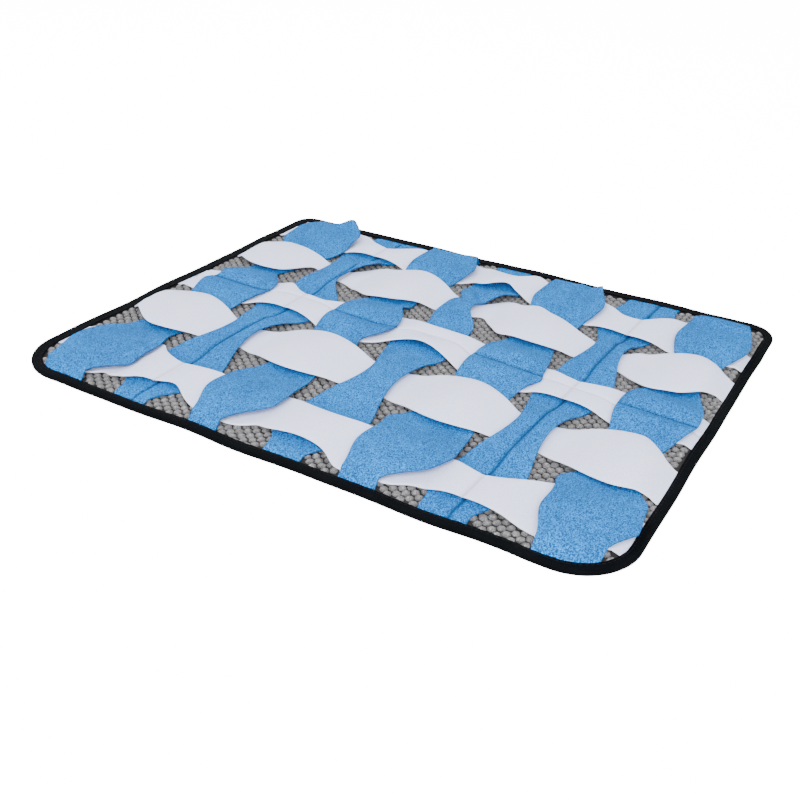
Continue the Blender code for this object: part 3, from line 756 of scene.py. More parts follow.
# %% The shape of a strip
class WovenStrip:
    """One strip in its place in the weave."""

    def __init__(self, blue, number, folds=()):
        self.blue = blue
        self.number = number
        self.folds = folds
        self.strip = (BLUE_STRIPS if blue else WHITE_STRIPS)[number]
        self.half = HALF_DEPTH if blue else HALF_LENGTH
        crossed = WHITE_STRIPS if blue else BLUE_STRIPS
        others = range(len(crossed))
        if blue:
            self.places = [crossing_point(number, other)[1] for other in others]
            self.over = [(number + other) % 2 == 0 for other in others]
        else:
            self.places = [crossing_point(other, number)[0] for other in others]
            self.over = [(number + other) % 2 == 1 for other in others]
        rows = [strip.crossings[number] for strip in crossed]
        self.changes = [(self.places[k] + rows[k].high + self.places[k + 1] - rows[k + 1].low) / 2
                        for k in range(len(rows) - 1)]
        # it rises within the free length between the tape and the first or last crossing
        free = (self.half + self.places[0] - rows[0].low,
                self.half - self.places[-1] - rows[-1].high)
        self.down = [min(max(length, STEEP_INSET), GENTLE_INSET) for length in free]
        if not blue:
            self.down[0] = GENTLE_INSET if self.over[0] else STEEP_INSET
        self.nearer = (TAPE_NARROWER, 0.0) if blue else (0.0, TAPE_NARROWER)

    def span(self, along):
        """The crossings on both sides of a place, and the share of the way between
        them, which is a half where the strip changes level."""
        if along <= self.places[0]:
            return 0, 0, 0.0
        for index in range(1, len(self.places)):
            if along <= self.places[index]:
                low, high = self.places[index - 1:index + 1]
                change = self.changes[index - 1]
                if along < change:
                    return index - 1, index, (along - low) / (change - low) / 2
                return index - 1, index, 0.5 + (along - change) / (high - change) / 2
        return index, index, 0.0

    def side(self, along, high_side):
        """The strip's width on one side of its axis."""
        strip = self.strip
        stops = [-self.half + LIP_INSET, *self.places, self.half - LIP_INSET]
        widths = [strip.end_start[high_side], *(c[high_side] for c in strip.crossings),
                  strip.end_end[high_side]]
        index = 1
        while along > stops[index] and index < len(stops) - 1:
            index += 1
        width = mix(widths[index - 1], widths[index], ease(along, stops[index - 1], stops[index]))
        for bulge in strip.bulges:
            if bulge.side == high_side:
                width += bulge.width * bump_at(along - bulge.along, bulge.reach)
        if not self.blue and self.over[0] and along < 0:
            width *= mix(END_PINCH, 1, ease(self.half + along, LIP_INSET, STEEP_INSET))
        return width

    def level(self, along):
        """1 over the other set, -1 under it, with a quick change between crossings."""
        before, after, share = self.span(along)
        sign = 1 if self.over[before] else -1
        if before == after:
            return sign
        return sign * math.tanh(WEAVE_SNAP * math.cos(math.pi * share)) / math.tanh(WEAVE_SNAP)

    def swell(self, along, across):
        """The puff of the cloth where it lies on top, and its lifted sides."""
        before, after, share = self.span(along)
        total = 0.0
        for index, near in ((before, 1 - share), (after, share)):
            row = self.strip.crossings[index]
            fade = math.cos(math.pi / 2 * min(2 * (1 - near), 1.0)) ** 2
            height = row.swell * (1 - across ** 2)
            height += row.lift_low * max(-across, 0) ** 2 + row.lift_high * max(across, 0) ** 2
            total += height * fade
            if before == after:
                break
        return total

    def crest(self, along, across):
        """The local folds of the table."""
        return sum(fold.height * bump_at(along - fold.along, fold.reach)
                   * bump_at(across - fold.across, fold.reach_across) for fold in self.strip.crests)

    def crease(self, x, y):
        """Shallow ridges and troughs, each along a line of its own."""
        total = 0.0
        for fold in self.folds:
            turn = math.radians(fold.turn)
            ahead = (x - fold.x) * math.cos(turn) + (y - fold.y) * math.sin(turn)
            aside = (y - fold.y) * math.cos(turn) - (x - fold.x) * math.sin(turn)
            if abs(ahead) < 2 * fold.length and abs(aside) < 3 * fold.width:
                total += fold.height * bump_at(ahead, fold.length) * bump_at(aside, fold.width)
        return total

    def middle(self, along, across):
        """A point of the strip's middle layer."""
        axis = axis_at(self.strip, along / (2 * self.half) + 0.5)
        aside = axis + across * self.side(along, 1 if across > 0 else 0)
        inset = self.half - abs(along) + self.nearer[along > 0]
        place = strip_end(along, aside, self.blue)
        x, y = (aside, place) if self.blue else (place, aside)
        out = ease(inset, LIP_INSET, self.down[along > 0])
        height = panel_top(inset + RISE_LEAD) + FIT_GAP + FLEECE / 2
        puff = self.swell(along, across) * seam_free(x, y)
        if self.blue or along > 0:
            puff *= ease(inset, LIP_INSET, PUFF_INSET)
        puff += self.crest(along, across) + self.crease(x, y)
        height += out * (WEAVE_RISE * (1 + self.level(along)) + puff)
        return Vector((x, y, height))


def name_of(blue, number):
    return f"{'blue' if blue else 'white'}_strip_{number + 1}"


print("a leaf's middle lies", round(WovenStrip(True, 0).middle(-176, 0).z, 1), "mm up")

# %% [markdown]
# ## Where a strip gets its points
# The rows of points stand about 3 mm apart, and closer beside a seam, where the nap is
# pinched into a groove only 2 mm wide. Across the strip they crowd towards its edges,
# because that is where the roundness of the cut edge has to show.

# %% Rows and columns of a strip
ROW_STEP = 3.0
COLUMN_STEP = 3.4
GROOVE_DEPTH = 1.5
GROOVE_REACH = 1.6
GROOVE_SHARE = 1.7        # of half the thickness of the cloth, at most
GROOVE_POINTS = (-3.0, -1.7, -0.8, 0.0, 0.8, 1.7, 3.0)
EDGE_POINTS = (0.0, 0.14, 0.42, 0.85)
LEAST_STEP = 0.6
TUCKED_POINTS = (4.0, 1.5)   # back from the lip, under the tape

# a crease lies at (x, y), runs at an angle, and is so long, wide and high
Crease = namedtuple("Crease", "x y turn length width height")
BLUE_CREASES = {
    0: (Crease(-214, 232, -52, 14, 4, 1.5),),
    1: (Crease(-138, 131, 51, 15, 4, 2.2), Crease(-131, 126, 51, 15, 5, -1.6)),
    2: (Crease(-79, 197, 52, 12, 5, 1.0),),
    3: (Crease(5, 118, -61, 20, 5, 2.6), Crease(15, 121, -61, 18, 6, -3.6)),
    4: (Crease(91, 206, 69, 16, 6, 1.5),),
    6: (Crease(232, 195, -16, 16, 4, 1.2), Crease(266, 193, 13, 14, 4, 1.2),
        Crease(255, 158, 5, 26, 5, 1.0)),
}
WHITE_CREASES = {
    1: (Crease(-272, -88, 35, 12, 5, 1.0),),
    4: (Crease(-165, 178, 38, 16, 5, 0.9),),
}


def thinned(places, closest):
    """The places in order, without those that crowd the one before."""
    kept = []
    for place in sorted(places):
        if not kept or place - kept[-1] >= closest:
            kept.append(place)
    return kept


def rows_of(woven):
    """Places along the strip, from one cut end to the other."""
    lips = [LIP_INSET - nearer for nearer in woven.nearer]
    start, stop = -woven.half + lips[0], woven.half - lips[1]
    steps = round((stop - start) / ROW_STEP)
    rows = [mix(start, stop, step / steps) for step in range(steps + 1)]
    if woven.blue:
        x = woven.strip.axis_start
        seams = [white_axis(number, x) + seam_wander(x) for number in SEWN_WHITE]
    else:
        seams = [blue_axis(number, woven.strip.axis_start) for number in SEWN_BLUE]
    rows += [seam + offset for seam in seams for offset in GROOVE_POINTS]
    first = [STRIP_END_INSET] + [start + woven.half - back for back in TUCKED_POINTS]
    last = [woven.half - stop - back for back in reversed(TUCKED_POINTS)] + [STRIP_END_INSET]
    return ([-woven.half + inset for inset in first] + thinned(rows, LEAST_STEP)
            + [woven.half - inset for inset in last])


def columns_of(woven, along, count):
    """Places across the strip, from -1 to 1, with the same number of them in each row."""
    low, high = woven.side(along, 0), woven.side(along, 1)
    near_low = [-1 + inset / low for inset in EDGE_POINTS]
    near_high = [1 - inset / high for inset in reversed(EDGE_POINTS)]
    centre = [0.0]
    if woven.number in (SEWN_BLUE if woven.blue else SEWN_WHITE):
        middle = 0.0 if woven.blue else seam_wander(along)
        centre = [(middle + offset) / (high if middle + offset > 0 else low)
                  for offset in GROOVE_POINTS]
    left = [mix(near_low[-1], centre[0], step / count) for step in range(1, count)]
    right = [mix(centre[-1], near_high[0], step / count) for step in range(1, count)]
    return near_low + left + centre + right + near_high


def half_thickness(woven, along, across):
    """Half the fleece's thickness, which rounds off towards a cut edge."""
    radius = FLEECE / 2
    inset = min((1 - abs(across)) * woven.side(along, 1 if across > 0 else 0), radius)
    return math.sqrt(max(radius ** 2 - (radius - inset) ** 2, 0.0))


print("grooves", GROOVE_DEPTH, "mm deep")

# %% [markdown]
# ## Sewing a strip's mesh together
# The middle layer is worked out once as a grid. The grid's own neighbours give the
# direction in which the cloth faces, and the top and bottom are half a thickness out on
# both sides. At the two long edges both faces share their points, so the rim is closed
# without any extra wall, and the two ends inside the tape get a narrow one.

# %% Building a strip
def strip_grid(woven):
    """The rows, the columns of each row, and the middle layer's points."""
    rows = rows_of(woven)
    widest = max(woven.side(row, 0) + woven.side(row, 1) for row in rows)
    count = max(4, round(widest / COLUMN_STEP / 2))
    columns = [columns_of(woven, row, count) for row in rows]
    middles = [[woven.middle(row, across) for across in line] for row, line in zip(rows, columns)]
    return rows, columns, middles


def facing(middles, row, column):
    """The way out of the cloth's upper face."""
    before = middles[max(row - 1, 0)][column]
    after = middles[min(row + 1, len(middles) - 1)][column]
    line = middles[row]
    aside = line[min(column + 1, len(line) - 1)] - line[max(column - 1, 0)]
    normal = aside.cross(after - before).normalized()
    return normal if normal.z > 0 else -normal


def seam_share(x, y):
    """1 in the middle of a seam's groove and 0 away from it."""
    return max(bump_at(distance, GROOVE_REACH) for distance in seam_distances(x, y))


def mark(piece, name, values):
    """Keeps one number for each point, for the piece's finish to read."""
    attribute = piece.data.attributes.new(name, "FLOAT", "POINT")
    attribute.data.foreach_set("value", values)


def make_strip(woven, material):
    rows, columns, middles = strip_grid(woven)
    wide = len(columns[0])
    tops, bottoms, edges = [], [], []
    for row, along in enumerate(rows):
        for column, across in enumerate(columns[row]):
            middle = middles[row][column]
            half = half_thickness(woven, along, across)
            normal = facing(middles, row, column)
            dent = min(GROOVE_DEPTH * seam_share(middle.x, middle.y), GROOVE_SHARE * half)
            tops.append(middle + normal * (half - dent))
            bottoms.append(middle - normal * half)
            edges.append(1 - ease(half, 0.2 * FLEECE, 0.48 * FLEECE))
    # the bottom's two outer columns are the top's own points
    under = {}
    points = list(tops)
    for index, bottom in enumerate(bottoms):
        if index % wide in (0, wide - 1):
            under[index] = index
        else:
            under[index] = len(points)
            points.append(bottom)
            edges.append(edges[index])
    faces = []
    for row in range(len(rows) - 1):
        for column in range(wide - 1):
            corner = row * wide + column
            quad = (corner, corner + 1, corner + wide + 1, corner + wide)
            faces.append(quad)
            faces.append(tuple(under[index] for index in reversed(quad)))
    for row in (0, len(rows) - 1):
        for column in range(wide - 1):
            here, after = row * wide + column, row * wide + column + 1
            # at the outer columns two of the wall's corners are one point
            wall = tuple(dict.fromkeys((after, here, under[here], under[after])))
            faces.append(wall if row == 0 else tuple(reversed(wall)))
    piece = make_piece("fleece_" + name_of(woven.blue, woven.number), points, faces, material)
    face_outwards(piece)
    mark(piece, "cut_edge", edges)
    mark(piece, "seam", [seam_share(point.x, point.y) for point in points])
    return piece, rows, columns, middles


def cut_size(rows, columns, middles):
    """The strip laid flat: its width and length and the area of cloth, in metres."""
    length = area = widest = 0.0
    centre = len(columns[0]) // 2
    for row in range(len(rows) - 1):
        step = (middles[row + 1][centre] - middles[row][centre]).length
        width = sum((b - a).length for a, b in zip(middles[row], middles[row][1:]))
        length += step
        area += step * width
        widest = max(widest, width)
    return widest * MM, length * MM, area * MM * MM


strips = {}
for blue, table, creases, material in ((True, BLUE_STRIPS, BLUE_CREASES, BLUE_FLEECE),
                                       (False, WHITE_STRIPS, WHITE_CREASES, WHITE_FLEECE)):
    for number in range(len(table)):
        woven = WovenStrip(blue, number, creases.get(number, ()))
        piece, *grid = make_strip(woven, material)
        strips[name_of(blue, number)] = (piece, cut_size(*grid))
        print(piece.name, triangles(piece), "triangles")

# %% [markdown]
# ## The plush panel's backing
# Under the bobbles is a knitted backing. It is a plain slab as far as it can be seen, but
# it has to thin out towards the edge, where the tape pinches it. It is swept round the
# ring of sections and closed with one face on top and one below.

# %% Backing
BACKING_TOP = 2.6
PINCHED_TOP = PRESSED_TOP - 0.3    # a little lower than the solid, which has the pile too
BOTTOM_ROUND = 3.0


def ring_faces(loops, closed):
    """Faces between the loops, which meet again, or end in a face at both ends."""
    count = len(SECTIONS)
    faces = []
    for loop in range(loops if closed else loops - 1):
        here, after = loop * count, (loop + 1) % loops * count
        for index in range(count):
            beyond = (index + 1) % count
            faces.append((here + index, here + beyond, after + beyond, after + index))
    if not closed:
        faces.append(tuple(range(count)))
        faces.append(tuple(range((loops - 1) * count, loops * count)))
    return faces


def make_backing():
    profile = (
        (SWELL_END - BOTTOM_ROUND, 0.0),
        (SWELL_START, PRESSED_BOTTOM),
        (PANEL_INSET, PRESSED_BOTTOM),
        (PANEL_INSET, PINCHED_TOP),
        (SWELL_START, PINCHED_TOP),
        (SWELL_END, BACKING_TOP),
    )
    points = [ring_point(section, inset, height)
              for inset, height in profile for section in SECTIONS]
    faces = ring_faces(len(profile), False)
    piece = make_piece("plush_backing", points, faces, BACKING_SHADE, False)
    face_outwards_by_neighbours(piece)
    return piece


backing_piece = make_backing()
print(backing_piece.name, triangles(backing_piece), "triangles")

# %% [markdown]
# ## Bobbles
# The plush's nubs stand in close, staggered rows, about five thousand of them. Modelling
# each by hand is out of the question, and a bump map would give a smooth outline where a
# real one is knobbly, so one nub of few faces is set out over the panel by Geometry
# Nodes. The rows start as a grid of points. Each point is dropped onto the panel's own
# solid. Towards the tape the panel is pressed flat, but where no fleece lies on it the pile
# springs up again, so a nub stands lower only where fleece is near. Those under the tape
# or pressed flat are left out. A little turn and size from a fixed seed keeps the rows
# from looking printed.

# %% Geometry Nodes helpers
class Builder:
    """A Geometry Nodes tree under construction."""

    def __init__(self, name):
        self.tree = bpy.data.node_groups.new(name, "GeometryNodeTree")
        for way in ("INPUT", "OUTPUT"):
            self.tree.interface.new_socket("Geometry", in_out=way,
                                           socket_type="NodeSocketGeometry")
        self.start = self.tree.nodes.new("NodeGroupInput")
        self.end = self.tree.nodes.new("NodeGroupOutput")
        self.inputs = {}

    def take(self, name, kind):
        """Adds a named input to the tree."""
        item = self.tree.interface.new_socket(name, in_out="INPUT",
                                              socket_type="NodeSocket" + kind)
        self.inputs[name] = item.identifier
        return next(socket for socket in self.start.outputs
                    if socket.identifier == item.identifier)

    def add(self, kind, settings=None, sockets=None):
        node = self.tree.nodes.new(kind)
        for key, value in (settings or {}).items():
            setattr(node, key, value)
        for key, value in (sockets or {}).items():
            if isinstance(value, bpy.types.NodeSocket):
                self.tree.links.new(value, node.inputs[key])
            else:
                node.inputs[key].default_value = value
        return node

    def finish(self, geometry, material):
        """Ends the tree: instances become faces, and they get their material."""
        real = self.add("GeometryNodeRealizeInstances", {}, {"Geometry": geometry})
        dressed = self.add("GeometryNodeSetMaterial", {},
                           {"Geometry": real.outputs[0], "Material": material})
        self.tree.links.new(dressed.outputs[0], self.end.inputs[0])

    def run(self, base, name, values):
        """Runs the tree on a copy of base's mesh and keeps the result as a plain mesh."""
        worker = bpy.data.objects.new(name + "_worker", base)
        bpy.context.scene.collection.objects.link(worker)
        modifier = worker.modifiers.new("nodes", "NODES")
        modifier.node_group = self.tree
        for key, value in values.items():
            modifier[self.inputs[key]] = value
        evaluated = worker.evaluated_get(bpy.context.evaluated_depsgraph_get())
        made = bpy.data.meshes.new_from_object(evaluated)
        worker.modifiers.remove(modifier)
        bpy.data.objects.remove(worker)
        made.name = name
        piece = bpy.data.objects.new(name, made)
        bpy.context.scene.collection.objects.link(piece)
        return piece


print("node helpers ready")

# %% One bobble and the rows it stands in
BOBBLE_ACROSS = 8.5
BOBBLE_HEIGHT = 3.8
BOBBLE_SIDES = 6
BOBBLE_RINGS = ((0.0, 0.44), (0.42, 0.43), (0.8, 0.18))    # quarter turns up, radius
ROW_PITCH = 4.5                     # every other row is staggered by half a pitch
COLUMN_PITCH = 11.6
BOBBLE_SEED = 7
BOBBLE_UNEVEN = 0.1
BOBBLE_LOWEST = 3.9                 # a nub that would stand lower is left out
FLEECE_NEAR = 2.0                   # with fleece this near a nub is pressed down,
FLEECE_FAR = 4.0                    # and with none up to here it stands at full height


def make_bobble():
    """A dome with a closed underside, one unit across and one high."""
    points, faces = [], []
    for ring, (slope, radius) in enumerate(BOBBLE_RINGS):
        for side in range(BOBBLE_SIDES):
            turn = math.tau * (side + 0.5 * ring) / BOBBLE_SIDES
            points.append((radius * math.cos(turn), radius * math.sin(turn),
                           math.sin(slope * math.pi / 2)))
    for ring in range(len(BOBBLE_RINGS) - 1):
        for side in range(BOBBLE_SIDES):
            beyond = (side + 1) % BOBBLE_SIDES
            here, above = ring * BOBBLE_SIDES, (ring + 1) * BOBBLE_SIDES
            faces.append((here + side, here + beyond, above + side))
            faces.append((here + beyond, above + beyond, above + side))
    top = (len(BOBBLE_RINGS) - 1) * BOBBLE_SIDES
    faces.append(tuple(range(top, top + BOBBLE_SIDES)))
    faces.append(tuple(reversed(range(BOBBLE_SIDES))))
    mesh = bpy.data.meshes.new("bobble")
    mesh.from_pydata(points, [], faces)
    mesh.polygons.foreach_set("use_smooth", [True] * len(mesh.polygons))
    # each point's height, which the yarn's finish turns into painted shade at the nub's foot
    nub_shade = mesh.attributes.new("nub_shade", "FLOAT", "POINT")
    nub_shade.data.foreach_set("value", [point[2] for point in points])
    bobble = bpy.data.objects.new("bobble", mesh)
    bpy.context.scene.collection.objects.link(bobble)
    return bobble


def row_points():
    """Loose points in staggered rows, over the whole panel and a little beyond."""
    points = []
    columns = math.ceil(MAT_LENGTH / COLUMN_PITCH)
    rows = math.ceil(MAT_DEPTH / ROW_PITCH)
    for row in range(rows + 1):
        for column in range(columns + 1):
            x = (column - columns / 2 + 0.5 * (row % 2)) * COLUMN_PITCH + MIDDLE.x
            y = (row - rows / 2) * ROW_PITCH + MIDDLE.y
            points.append((x * MM, y * MM, 0.0))
    mesh = bpy.data.meshes.new("rows")
    mesh.from_pydata(points, [], [])
    return mesh


def bobble_tree():
    """Sets a nub on the panel at each point that is neither covered nor pressed flat."""
    tree = Builder("bobbles_on_panel")
    panel = tree.take("Panel", "Object")
    tape = tree.take("Tape", "Object")
    fleeces = tree.take("Fleeces", "Collection")
    nub = tree.take("Nub", "Object")
    across = tree.take("Across", "Float")
    height = tree.take("Height", "Float")
    uneven = tree.take("Uneven", "Float")
    seed = tree.take("Seed", "Int")
    full = tree.take("Full height", "Float")
    lower = tree.take("Least height", "Float")
    clear_from = tree.take("Fleece this near", "Float")
    clear_to = tree.take("Fleece this far", "Float")
    material = tree.take("Yarn", "Material")

    places = tree.add("GeometryNodeInputPosition").outputs[0]
    above = tree.add("ShaderNodeVectorMath", {"operation": "ADD"}, {0: places, 1: (0, 0, 0.1)})
    down = {"Source Position": above.outputs[0], "Ray Direction": (0, 0, -1), "Ray Length": 0.2}
    target = tree.add("GeometryNodeObjectInfo", {}, {"Object": panel})
    hit = tree.add("GeometryNodeRaycast", {}, {
        "Target Geometry": target.outputs["Geometry"], **down})
    ring = tree.add("GeometryNodeObjectInfo", {}, {"Object": tape})
    covered = tree.add("GeometryNodeRaycast", {}, {
        "Target Geometry": ring.outputs["Geometry"], **down})

    # how near the fleece is, measured from the pile's full height
    raised = tree.add("ShaderNodeCombineXYZ", {}, {"Z": full})
    level = tree.add("ShaderNodeVectorMath", {"operation": "ADD"},
                     {0: places, 1: raised.outputs[0]})
    cloth = tree.add("GeometryNodeCollectionInfo", {}, {"Collection": fleeces})
    cloth = tree.add("GeometryNodeRealizeInstances", {}, {"Geometry": cloth.outputs[0]})
    near = tree.add("GeometryNodeProximity", {"target_element": "FACES"}, {
        "Geometry": cloth.outputs[0], "Sample Position": level.outputs[0]})
    spring = tree.add("ShaderNodeMapRange", {}, {
        "Value": near.outputs["Distance"], 1: clear_from, 2: clear_to, 3: 0.0, 4: 1.0})
    pressed = tree.add("ShaderNodeSeparateXYZ", {}, {0: hit.outputs["Hit Position"]})
    stand = tree.add("ShaderNodeMix", {"data_type": "FLOAT"}, {
        0: spring.outputs[0], 2: pressed.outputs["Z"], 3: full})

    # points to leave out go first, and the others are then lifted to the nub's foot
    low = tree.add("FunctionNodeCompare", {"data_type": "FLOAT", "operation": "LESS_THAN"},
                   {0: stand.outputs[0], 1: lower})
    missed = tree.add("FunctionNodeBooleanMath", {"operation": "OR"},
                      {0: low.outputs[0], 1: covered.outputs["Is Hit"]})
    outside = tree.add("FunctionNodeBooleanMath", {"operation": "NOT"},
                       {0: hit.outputs["Is Hit"]})
    missed = tree.add("FunctionNodeBooleanMath", {"operation": "OR"},
                      {0: missed.outputs[0], 1: outside.outputs[0]})
    kept = tree.add("GeometryNodeDeleteGeometry", {}, {
        "Geometry": tree.start.outputs[0], "Selection": missed.outputs[0]})
    foot = tree.add("ShaderNodeMath", {"operation": "SUBTRACT"}, {0: stand.outputs[0], 1: height})
    foot = tree.add("ShaderNodeCombineXYZ", {}, {"Z": foot.outputs[0]})
    placed = tree.add("GeometryNodeSetPosition", {}, {
        "Geometry": kept.outputs[0], "Offset": foot.outputs[0]})

    # each nub has a size, a lean and a shade of grey of its own
    shape = tree.add("GeometryNodeObjectInfo", {}, {"Object": nub})
    more = tree.add("ShaderNodeMath", {"operation": "ADD"}, {0: uneven, 1: 1.0})
    less = tree.add("ShaderNodeMath", {"operation": "SUBTRACT"}, {0: 1.0, 1: uneven})
    size = tree.add("FunctionNodeRandomValue", {"data_type": "FLOAT"}, {
        2: less.outputs[0], 3: more.outputs[0], "Seed": seed})
    wide = tree.add("ShaderNodeMath", {"operation": "MULTIPLY"}, {0: size.outputs[1], 1: across})
    scale = tree.add("ShaderNodeCombineXYZ", {}, {
        "X": across, "Y": wide.outputs[0], "Z": height})
    turn = tree.add("FunctionNodeRandomValue", {"data_type": "FLOAT_VECTOR"}, {
        0: (-0.22, -0.22, -0.6), 1: (0.22, 0.22, 0.6), "Seed": seed})
    nubs = tree.add("GeometryNodeInstanceOnPoints", {}, {
        "Points": placed.outputs[0], "Instance": shape.outputs["Geometry"],
        "Rotation": turn.outputs[0], "Scale": scale.outputs[0]})
    tone = tree.add("FunctionNodeRandomValue", {"data_type": "FLOAT"}, {
        2: 0.0, 3: 0.5, "Seed": seed})
    toned = tree.add("GeometryNodeStoreNamedAttribute",
                     {"data_type": "FLOAT", "domain": "INSTANCE"},
                     {"Geometry": nubs.outputs[0], "Name": "tone", "Value": tone.outputs[1]})
    tree.finish(toned.outputs[0], material)
    return tree


bobble = make_bobble()
fleece_group = bpy.data.collections.new("fleeces")
for piece, _ in strips.values():
    fleece_group.objects.link(piece)
bobbles = bobble_tree().run(row_points(), "plush_bobbles", {
    "Panel": bpy.data.objects["base_panel"], "Tape": bpy.data.objects["edge_binding"],
    "Fleeces": fleece_group, "Nub": bobble, "Across": BOBBLE_ACROSS * MM,
    "Height": BOBBLE_HEIGHT * MM, "Uneven": BOBBLE_UNEVEN, "Seed": BOBBLE_SEED,
    "Full height": PANEL_THICKNESS * MM, "Least height": BOBBLE_LOWEST * MM,
    "Fleece this near": FLEECE_NEAR * MM, "Fleece this far": FLEECE_FAR * MM,
    "Yarn": BOBBLE_YARN})
bpy.data.objects.remove(bobble)
bpy.data.collections.remove(fleece_group)
print(bobbles.name, triangles(bobbles), "triangles")

# %% [markdown]
# ## The binding
# The tape is folded over the edge and sewn through. It could be a tube with a flat
# section, but tape is springy: it bulges a little at the fold, lies flat at its lip, and
# puckers slightly at each stitch. So its section is swept round the ring, and the height
# of its upper face ripples along the way.

# %% Tape
# inset and height, from the lip below, round the fold, to the lip above, and back inside
TAPE_SECTION = (
    (TAPE_WIDTH, 0.0), (6.5, 0.0), (2.4, 0.0), (1.0, 0.35), (0.25, 1.2), (0.0, TAPE_TOP * 0.45),
    (0.15, TAPE_TOP - 1.6), (0.8, TAPE_TOP - 0.6), (2.0, TAPE_TOP - 0.1), (4.0, TAPE_TOP),
    (7.0, TAPE_TOP - 0.1), (9.6, TAPE_TOP - 0.35), (11.4, TAPE_TOP - 0.2),
    (TAPE_WIDTH - 0.3, TAPE_TOP - 0.25), (TAPE_WIDTH, TAPE_TOP - 0.5),
    (TAPE_WIDTH, SLOT_TOP + 0.05), (TAPE_BACK, SLOT_TOP), (TAPE_BACK, TAPE_THICKNESS),
    (TAPE_WIDTH, TAPE_THICKNESS),
)
STITCH_PITCH = 4.2
STITCH_INSET = 9.8
PUCKER = 0.16
LIP_SINK = 0.25


def make_tape():
    points, distances = [], []
    gone = 0.0
    for index, section in enumerate(SECTIONS):
        if index:
            gone += (section[0] - SECTIONS[index - 1][0]).length
        distances.append(gone)
    slow_waves = [0.35 * math.sin(place / 31) + 0.25 * math.sin(place / 17 + 1)
                  for place in distances]
    for inset, height in TAPE_SECTION:
        # the upper face sinks towards its stitches and puckers at them
        near = ease(inset, 2.0, STITCH_INSET) if height > SLOT_TOP + 0.2 else 0.0
        for place, wave, section in zip(distances, slow_waves, SECTIONS):
            pucker = PUCKER * math.sin(math.tau * place / STITCH_PITCH / 3)
            points.append(ring_point(section, inset + 0.5 * wave * near,
                                     height + (pucker - LIP_SINK) * near))
    piece = make_piece("binding_tape", points, ring_faces(len(TAPE_SECTION), True), BLACK_TAPE)
    face_outwards_by_neighbours(piece)
    add_tape_map(piece, distances)
    return piece


def add_tape_map(piece, distances):
    """A UV map with one unit to the millimetre: along the tape, and across it."""
    count = len(SECTIONS)
    across = [0.0]
    for (inset_a, height_a), (inset_b, height_b) in zip(TAPE_SECTION, TAPE_SECTION[1:]):
        across.append(across[-1] + math.hypot(inset_b - inset_a, height_b - height_a))
    uv_map = piece.data.uv_layers.new(name="weave")
    for polygon in piece.data.polygons:
        loops = list(polygon.loop_indices)
        vertices = [piece.data.loops[loop].vertex_index for loop in loops]
        ring_places = [vertex % count for vertex in vertices]
        wraps = max(ring_places) - min(ring_places) > count / 2
        for loop, vertex, place in zip(loops, vertices, ring_places):
            along = distances[place] + (ring_length if wraps and place < count / 2 else 0.0)
            uv_map.data[loop].uv = (along, across[vertex // count])


tape_piece = make_tape()
print(tape_piece.name, triangles(tape_piece), "triangles")

# %% [markdown]
# ## Stitches
# The binding is held by one row of stitches near its lip, and three straight seams hold
# the weave down: along two blue strips, and across the mat along the middle white one. A
# seam is a line on the cloth that tops the weave at each place. Geometry Nodes lay one
# short thread at every step of that line, turned along it and half sunk in the nap.

# %% A stitch and the lines it follows
Stitch = namedtuple("Stitch", "pitch length thickness")
SEAM_STITCH = Stitch(3.8, 3.0, 0.62)
TAPE_STITCH = Stitch(STITCH_PITCH, 3.4, 0.7)
STITCH_SIDES = 6
STITCH_RINGS = ((-0.5, 0.25), (-0.32, 0.9), (0.0, 1.0), (0.32, 0.9), (0.5, 0.25))


def make_stitch():
    """A short thread along X, one unit long and one thick, thinner at its ends."""
    sides = STITCH_SIDES
    points, faces = [], []
    for along, thick in STITCH_RINGS:
        for side in range(sides):
            turn = math.tau * side / sides
            points.append((along, 0.5 * thick * math.cos(turn), 0.5 * thick * math.sin(turn)))
    for ring in range(len(STITCH_RINGS) - 1):
        for side in range(sides):
            beyond = (side + 1) % sides
            here, after = ring * sides, (ring + 1) * sides
            faces.append((here + side, here + beyond, after + beyond, after + side))
    faces.append(tuple(reversed(range(sides))))
    faces.append(tuple(range(len(points) - sides, len(points))))
    mesh = bpy.data.meshes.new("stitch")
    mesh.from_pydata(points, [], faces)
    mesh.polygons.foreach_set("use_smooth", [True] * len(mesh.polygons))
    stitch = bpy.data.objects.new("stitch", mesh)
    bpy.context.scene.collection.objects.link(stitch)
    face_outwards_by_neighbours(stitch)
    return stitch


